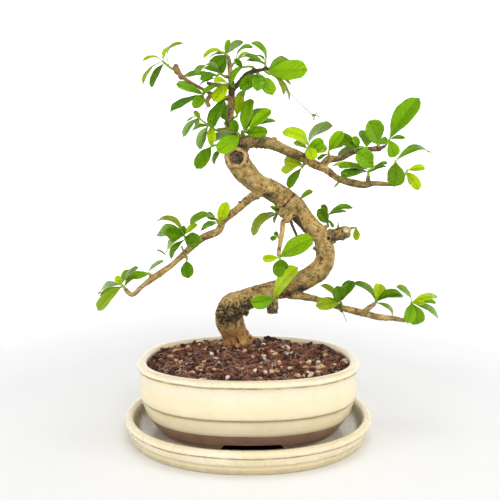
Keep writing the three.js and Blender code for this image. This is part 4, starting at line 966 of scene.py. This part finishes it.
def leaf(base, row, draw):
    """Points of a leaf that starts at base."""
    _, angle, lean, length, seen, arch, breadth = row + LEAF_DEFAULTS[len(row) - 5:]
    along, face, side = leaf_axes(angle, lean, seen)
    half_width = length * breadth / 200
    ragged = draw.uniform(0.5, 1.4)
    phase = draw.uniform(0, 6.3, 4)
    skew = draw.uniform(-0.03, 0.03)
    trough = draw.uniform(0.2, 0.38)
    top, bottom = [], []
    for t in STEPS_ALONG:
        share = np.interp(t, *OUTLINE.T)
        across = face - along * (4 * arch / 100 * (1 - 2 * t))
        across /= norm(across)
        rise = length * arch / 100 * 4 * t * (1 - t)
        middle = base + along * length * t + face * rise + side * half_width * skew * 4 * sin(pi * t)
        for s in COLUMNS:
            edge = abs(s)
            teeth = 0.045 * ragged * sin(t * 34 + phase[0]) * max(0, t - 0.55) * 2 if edge > 0.95 else 0
            reach = s * half_width * share * (1 + teeth)
            lift = half_width * (
                share * (trough * edge ** 1.3 - 0.10 * edge ** 4
                         + 0.09 * edge ** 2 * sin(t * 7 + phase[1] + (1.8 if s > 0 else 0)))
                + 0.03 * edge * sin(t * 19 + phase[2]))
            if share < 0.2:
                lift = 0.3 * half_width * share * edge
            back = -0.03 * length * edge ** 2 * max(0, (t - 0.9) / 0.1)
            point = middle + side * reach + across * lift + along * back
            thick = (0.30 - 0.18 * edge + 0.25 * max(0, 1 - edge * 6) * (1 - t)) * 0.5
            top.append(point + across * thick)
            bottom.append(point - across * thick)
    return top + bottom


# Colours of each letter: blade, and its paler veins
TONES = {
    "Y": ("#a6c402", "#c6d52a"), "B": ("#6a9e01", "#9ac60e"), "M": ("#568c01", "#8aba14"),
    "D": ("#3a6e01", "#6c9c10"), "O": ("#7c9414", "#a2ae38"), "G": ("#789a52", "#a6bd88"),
}


def leaf_look(name):
    look = Look(name)
    s, t, under = (look.value(key) for key in ("leaf_s", "leaf_t", "under"))
    base, pale = look.value("tint", "Color"), look.value("tint_pale", "Color")
    away = look.math("ABSOLUTE", s)
    rib = look.plus(look.scaled(look.noise(260), 0.03, 0.045), look.times(t, -0.035))
    midrib = look.band(look.math("SUBTRACT", away, rib), -0.01, 0.04, 1, 0)
    chevron = look.weighed((t, 7.0), (away, -1.9))
    veins = look.band(look.math("ABSOLUTE", look.plus(look.math("FRACT", chevron), -0.5)), 0.38, 0.5)
    veins = look.times(veins, look.band(away, 0.7, 0.95, 1, 0))
    colour = look.mix(look.spots(70, 4, 0.6, 0.3, 0.75, 0, 0.45), base, look.mix(0.45, base, pale))
    # One half of each leaf is darkened across the midrib: painted shade, as if that half of the fold faced away from
    # the light
    colour = look.mix(look.band(s, -0.08, 0.08, 0, 0.4), colour, (0.6, 0.7, 0.4, 1), "MULTIPLY")
    colour = look.layers(colour, (veins, 0.12, pale), (midrib, 0.5, pale), (look.band(away, 0.94, 1.0), 0.4, pale),
                         (look.band(t, 0.03, 0.12, 1, 0), 0.7, pale), (under, 0.45, "#a2ba80"))
    quilt = look.weighed((veins, -0.25), (midrib, -0.9), (look.noise(260, 3, 0.6), 1.6),
                         (look.noise(900, 2, 0.6), 0.25))
    rough = look.plus(look.scaled(under, 0.3, 0.16), look.times(look.noise(300), 0.12))
    return look.done(colour, rough, look.bump(quilt, 0.0012, 0.9), Specular_IOR_Level=0.95,
                     Specular_Tint=(0.8, 1, 0.06, 1))


LEAF_LOOKS = {tone: leaf_look("leaf_" + tone + "_fine") for tone in ("fresh", "bright", "green", "dark", "olive")}
STEM_IN_WOOD, STEM_BEYOND = 0.8, 1.0
BOX_MARGIN = 0.1
INNER_BOX = [np.array(corner) / MM + margin for corner, margin in zip(CAD_BOX, (BOX_MARGIN, -BOX_MARGIN))]


def shifted(text, amount, draw):
    base = np.array(srgb(text)[:3])
    return held(base * (1 + draw.uniform(-amount, amount)) * (1 + draw.uniform(-0.06, 0.06, 3)))


def unit(vector):
    return vector / max(norm(vector), 1e-6)


def build_spray(index, name, tone, shoot, leaves):
    draw = np.random.default_rng(900 + index)
    heap = Heap()
    first, before, last = (np.array(shoot[k], float) for k in (0, -2, -1))
    inside = first + unit(nearest_on_wood(first) - first) * STEM_IN_WOOD
    beyond = last + unit(last - before) * STEM_BEYOND
    stem = [[*inside, 1.0], [*first, 1.0]] + [[*p, 0.85] for p in shoot[1:]] + [[*beyond, 0.45]]
    green = shifted("#8fae3c", 0.1, draw)
    heap.add(*tube(smooth_line(stem, 0.5), 10), leaf_s=0.4, leaf_t=0.5, under=0.0, tint=green, tint_pale=green)
    for letter, row in leaves:
        base, pale = TONES[letter]
        heap.add(leaf(shoot_point(shoot, row[0]), row, draw), LEAF_FACES, **LEAF_PLACES,
                 under=UNDERSIDE if row[4] > 0 else 1 - UNDERSIDE,
                 tint=shifted(base, 0.12, draw), tint_pale=shifted(pale, 0.08, draw))
    heap.points = np.clip(heap.points, *INNER_BOX)
    piece = heap.mesh(name + "_fine")
    bm = bmesh.new()
    bm.from_mesh(piece.data)
    bmesh.ops.recalc_face_normals(bm, faces=bm.faces)
    bm.to_mesh(piece.data)
    bm.free()
    finish_piece(piece, LEAF_LOOKS[tone], "leaf_" + tone, name)


for index, (name, spray) in enumerate(sprays.items()):
    build_spray(index, name, *spray)


# ---- Soil: a rough mound with loose grains and fibres on it

SOIL_RING_STEPS = 240
SOIL_HALF_LENGTH = 76.9
TRUNK_FOOT = np.array([-7, 30])
# How far grains and fibres keep from the trunk's foot
GRAIN_GAP, FIBRE_GAP = 13.5, 13
# Half length and half width of the oval that the fibres end in
FIBRE_OVAL = (76, 57.5)


def soil_height(x, y):
    mound = 6 * exp(-(((x + 6) / 34) ** 2) - ((y - 24) / 24) ** 2)
    furrows = 0.6 * sin(x * 0.31 + 1.3 * sin(y * 0.23))
    p = Vector((x, y, 0))
    crumbs = 1.2 * noise.noise(p * 0.22) + 1.2 * noise.noise(p * 0.6) + 0.7 * noise.noise(p * 1.5)
    return 55.5 + mound + furrows + 0.5 * cos(y * 0.37 + x * 0.11) + crumbs


def soil_mesh():
    shares = np.linspace(0.012, 1, 96)
    walls = ((77.0, 52), (75.4, 30), (71.6, 17.9), (66.6, 15.3))
    ring_turns = turns(SOIL_RING_STEPS)
    points = [[0, 0, soil_height(0, 0)]]
    for share in shares:
        for turn in ring_turns:
            x, y = oval_point(SOIL_HALF_LENGTH * share, turn, POT_OVAL[0] * share, POT_OVAL[1])
            points.append([x, y, soil_height(x, y) - (0 if share < 0.985 else 0.8)])
    for half_length, height in walls:
        points += [[*oval_point(half_length, turn, *POT_OVAL), height] for turn in ring_turns]
    points.append([0, 0, walls[-1][1]])
    rings = len(shares) + len(walls)
    faces = fan(0, 1, SOIL_RING_STEPS) + quads(1, rings, SOIL_RING_STEPS, flip=True)
    last_ring = 1 + (rings - 1) * SOIL_RING_STEPS
    return mesh_object("soil_fine", points, faces + fan(len(points) - 1, last_ring, SOIL_RING_STEPS, flip=True))


look = Look("soil_fine")
earth = look.layers(
    look.blotched(150, 5, 0.7, 0.38, 0.62, "#2a150d", "#704030"),
    ((600, 4, 0.7, 0.5, 0.7), 1, "#8f5438"),
    ((330, 4, 0.7, 0.56, 0.64), 1, "#170b07"))
clumps = look.plus(look.noise(260, 5, 0.75), look.times(look.cells(420), -0.6))
finish_piece(soil_mesh(), look.done(earth, 0.95, look.bump(clumps, 0.0012, 0.9)), "soil", "soil")


def off_trunk(x, y):
    return np.hypot(*(np.array([x, y]) - TRUNK_FOOT))


def free_place(draw, spread=75.5):
    while True:
        turn, share = draw.uniform(0, FULL_TURN), sqrt(draw.uniform(0, 1))
        x, y = oval_point(spread * share, turn, POT_OVAL[0] * share, POT_OVAL[1])
        if off_trunk(x, y) > GRAIN_GAP:
            return x, y


def grain_look(name, a, b):
    look = Look(name)
    colour = look.layers(look.blotched(150, 2, 0.55, 0.35, 0.65, a, b),
                         ((1500, 3, 0.7, 0.55, 0.75), 0.4, "#4a2c1c"))
    return look.done(colour, 0.9, look.bump(look.noise(1800, 3), 0.0002, 0.6))


ball = bmesh.new()
bmesh.ops.create_icosphere(ball, subdivisions=1, radius=1)
BALL_POINTS = np.array([v.co for v in ball.verts])
BALL_FACES = [[v.index for v in f.verts] for f in ball.faces]
ball.free()


def grains(name, places, sizes, flat, material, seed):
    """Crumbs at places, rows of [x, y, z, size] or None for a free place on the soil."""
    draw = np.random.default_rng(seed)
    heap = Heap()
    for place in places:
        x, y = place[:2] if place else free_place(draw)
        size = place[3] / 2 if place else draw.uniform(*sizes) / 2
        turn = Matrix.Rotation(draw.uniform(0, 6.28), 3, "Z")
        turn = turn @ Matrix.Rotation(draw.uniform(-0.6, 0.6), 3, "X")
        turn = turn @ Matrix.Rotation(draw.uniform(-0.6, 0.6), 3, "Y")
        lumpy = BALL_POINTS * draw.uniform(0.72, 1.15, (len(BALL_POINTS), 1))
        lumpy = lumpy * (size * draw.uniform(1.0, 1.5), size, size * flat)
        height = place[2] if place else soil_height(x, y) + size * flat * 0.5
        heap.add(lumpy @ np.array(turn).T + (x, y, height), BALL_FACES)
    finish_piece(heap.mesh(name, smooth=False), material, "soil")


# Chips along the rim: [x, y, z, size]
RIM_CHIPS = rows("""
    17.6 51 59.4 6.8, 21 51 58.4 6.2, 24.5 51 57.8 6, 28 51 57.2 5.6, 32 51 56.6 5, -38 44 58.2 4, -47 38 58.2 4.6,
    -56 31 58.4 4.2, 54 40 58 4, 62 30 58.4 4.4""")
# Grains: name, how many or where, least and largest size, flatness, material and its two colours, seed
for name, places, sizes, flat, material, dark, light, seed in (
    ("soil_dark_bark", [None] * 480, (1.5, 5.5), 0.5, "bark_chips", "#1f100a", "#4a2a1a", 41),
    ("soil_brown", [None] * 560, (1.6, 5), 0.6, "brown_clumps", "#5f3322", "#8e5b40", 45),
    ("soil_red_bark", [None] * 320, (1.2, 3.6), 0.5, "red_chips", "#6f3822", "#985c3c", 42),
    ("soil_clay", [None] * 95, (2.4, 5.2), 0.75, "clay_bits", "#b98350", "#e6c79c", 43),
    ("soil_perlite", [None] * 48, (2.0, 4.2), 0.8, "perlite", "#d6c3b2", "#f1e6d9", 44),
    ("soil_rim_chips", RIM_CHIPS, None, 0.8, "rim_chips", "#1c100a", "#4a2e1d", 46),
):
    grains(name, places, sizes, flat, grain_look(material, dark, light), seed)


def fibres(name, count, radius, material, seed):
    draw = np.random.default_rng(seed)
    heap = Heap()
    steps = 7
    for _ in range(count):
        x, y = free_place(draw, 72)
        heading, bend = draw.uniform(0, 6.28), draw.uniform(-0.35, 0.35)
        hop, length = draw.uniform(0.2, 1.6), draw.uniform(4, 13)
        line = []
        for k in range(steps):
            line.append([x, y, soil_height(x, y) + 0.15 + hop * sin(pi * k / (steps - 1)),
                         radius if 0 < k < steps - 1 else radius * 0.5])
            heading += bend
            x += cos(heading) * length / steps
            y += sin(heading) * length / steps
        reach = sum((abs(part) / half) ** POT_OVAL[1] for part, half in zip((x, y), FIBRE_OVAL))
        if reach <= 1 and off_trunk(x, y) >= FIBRE_GAP:
            heap.add(*tube(np.array(line), 4))
    finish_piece(heap.mesh(name), material, "soil")


fibres("soil_fibres_red", 620, 0.18, grain_look("red_fibre", "#8a4c35", "#b07254"), 51)
fibres("soil_fibres_dark", 260, 0.14, grain_look("dark_fibre", "#2c150d", "#4f2d1e"), 52)
fibres("soil_fibres_pale", 820, 0.16, grain_look("pale_fibre", "#b48a76", "#dcc0ae"), 53)


# ---- Thin dry stalks, buds and strands, a calyx and very small leaves

# Rows [x, y, z, radius]
STRANDS = [
    rows("28.2 0 263.6 .34, 37.6 -1 253.8 .3, 48.2 -2 243.8 .36"),
    rows("-31.1 2 250.2 .3, -34 1 247.8 .3, -36.6 0 244.9 .3"),
    rows("63.1 12 176.5 .3, 64.7 12 179.7 .28, 66.9 11 182 .2"),
    rows("72.6 -2 93.9 .3, 74.4 -3 90.2 .25, 75.8 -4 86.1 .2"),
    rows("-49.9 -12 144.8 .7, -48.1 -12 140.4 .8, -46 -11 135.5 .6"),
    rows("72.1 12 157 .6, 71.2 11 161.1 .5, 70.6 11 163.1 .3"),
    rows("6 12 222.8 .6, 6.5 11 220.3 .4, 7 11 218 .25"),
    rows("9.2 11 222.2 .6, 10 11 220.7 .45, 9.8 10 218.6 .25"),
    rows("12.3 11 221.5 .5, 12.9 10 219 .25"),
    rows("3.1 12 222.4 .5, 3.4 11 219.9 .25"),
    rows("-4.8 4 229.5 .8, -4.8 2 231.5 1.3, -4.6 .5 232.8 .5"),
    rows("-17.7 -4 158.2 .3, -20.8 -4 158.6 .25"),
    rows("48.2 -2 243.8 .5, 49.4 -2 243.4 1.1, 50.8 -2 243 .9"),
]
CALYX = [50.2, -2, 243.1]
# Leaves: base, and the row of a leaf. The first four are the calyx's sepals.
SMALL_LEAVES = [(CALYX, [0, angle, lean, length, 0.7, 12, 36])
                for angle, lean, length in ((-25, 10, 4.2), (35, 0, 3.6), (-95, -10, 3.8), (-140, 20, 3.4))]
SMALL_LEAVES += [([-60.8, -12, 137], [0, 146, 10, 9.5, 0.6, 14, 22]), ([65.7, 0, 188.8], [0, 48, 20, 5.5, 0.8, 8, 40]),
                 ([-17, 6, 233], [0, 108, 10, 7, 0.7, 10, 34])]
STALK_TINT, SMALL_TINT = (np.array(srgb(text)[:3]) for text in ("#6b7634", "#93a63c"))
PALER = 1.25

draw = np.random.default_rng(61)
heap = Heap()
for nodes in STRANDS:
    heap.add(*tube(smooth_line(nodes, 0.6), 6), leaf_s=0.4, leaf_t=0.5, under=0.0, tint=STALK_TINT,
             tint_pale=STALK_TINT * PALER)
for base, row in SMALL_LEAVES:
    heap.add(leaf(np.array(base, float), row, draw), LEAF_FACES, **LEAF_PLACES, under=UNDERSIDE, tint=SMALL_TINT,
             tint_pale=SMALL_TINT * PALER)
finish_piece(heap.mesh("sprigs"), LEAF_LOOKS["fresh"], "leaf_fresh")
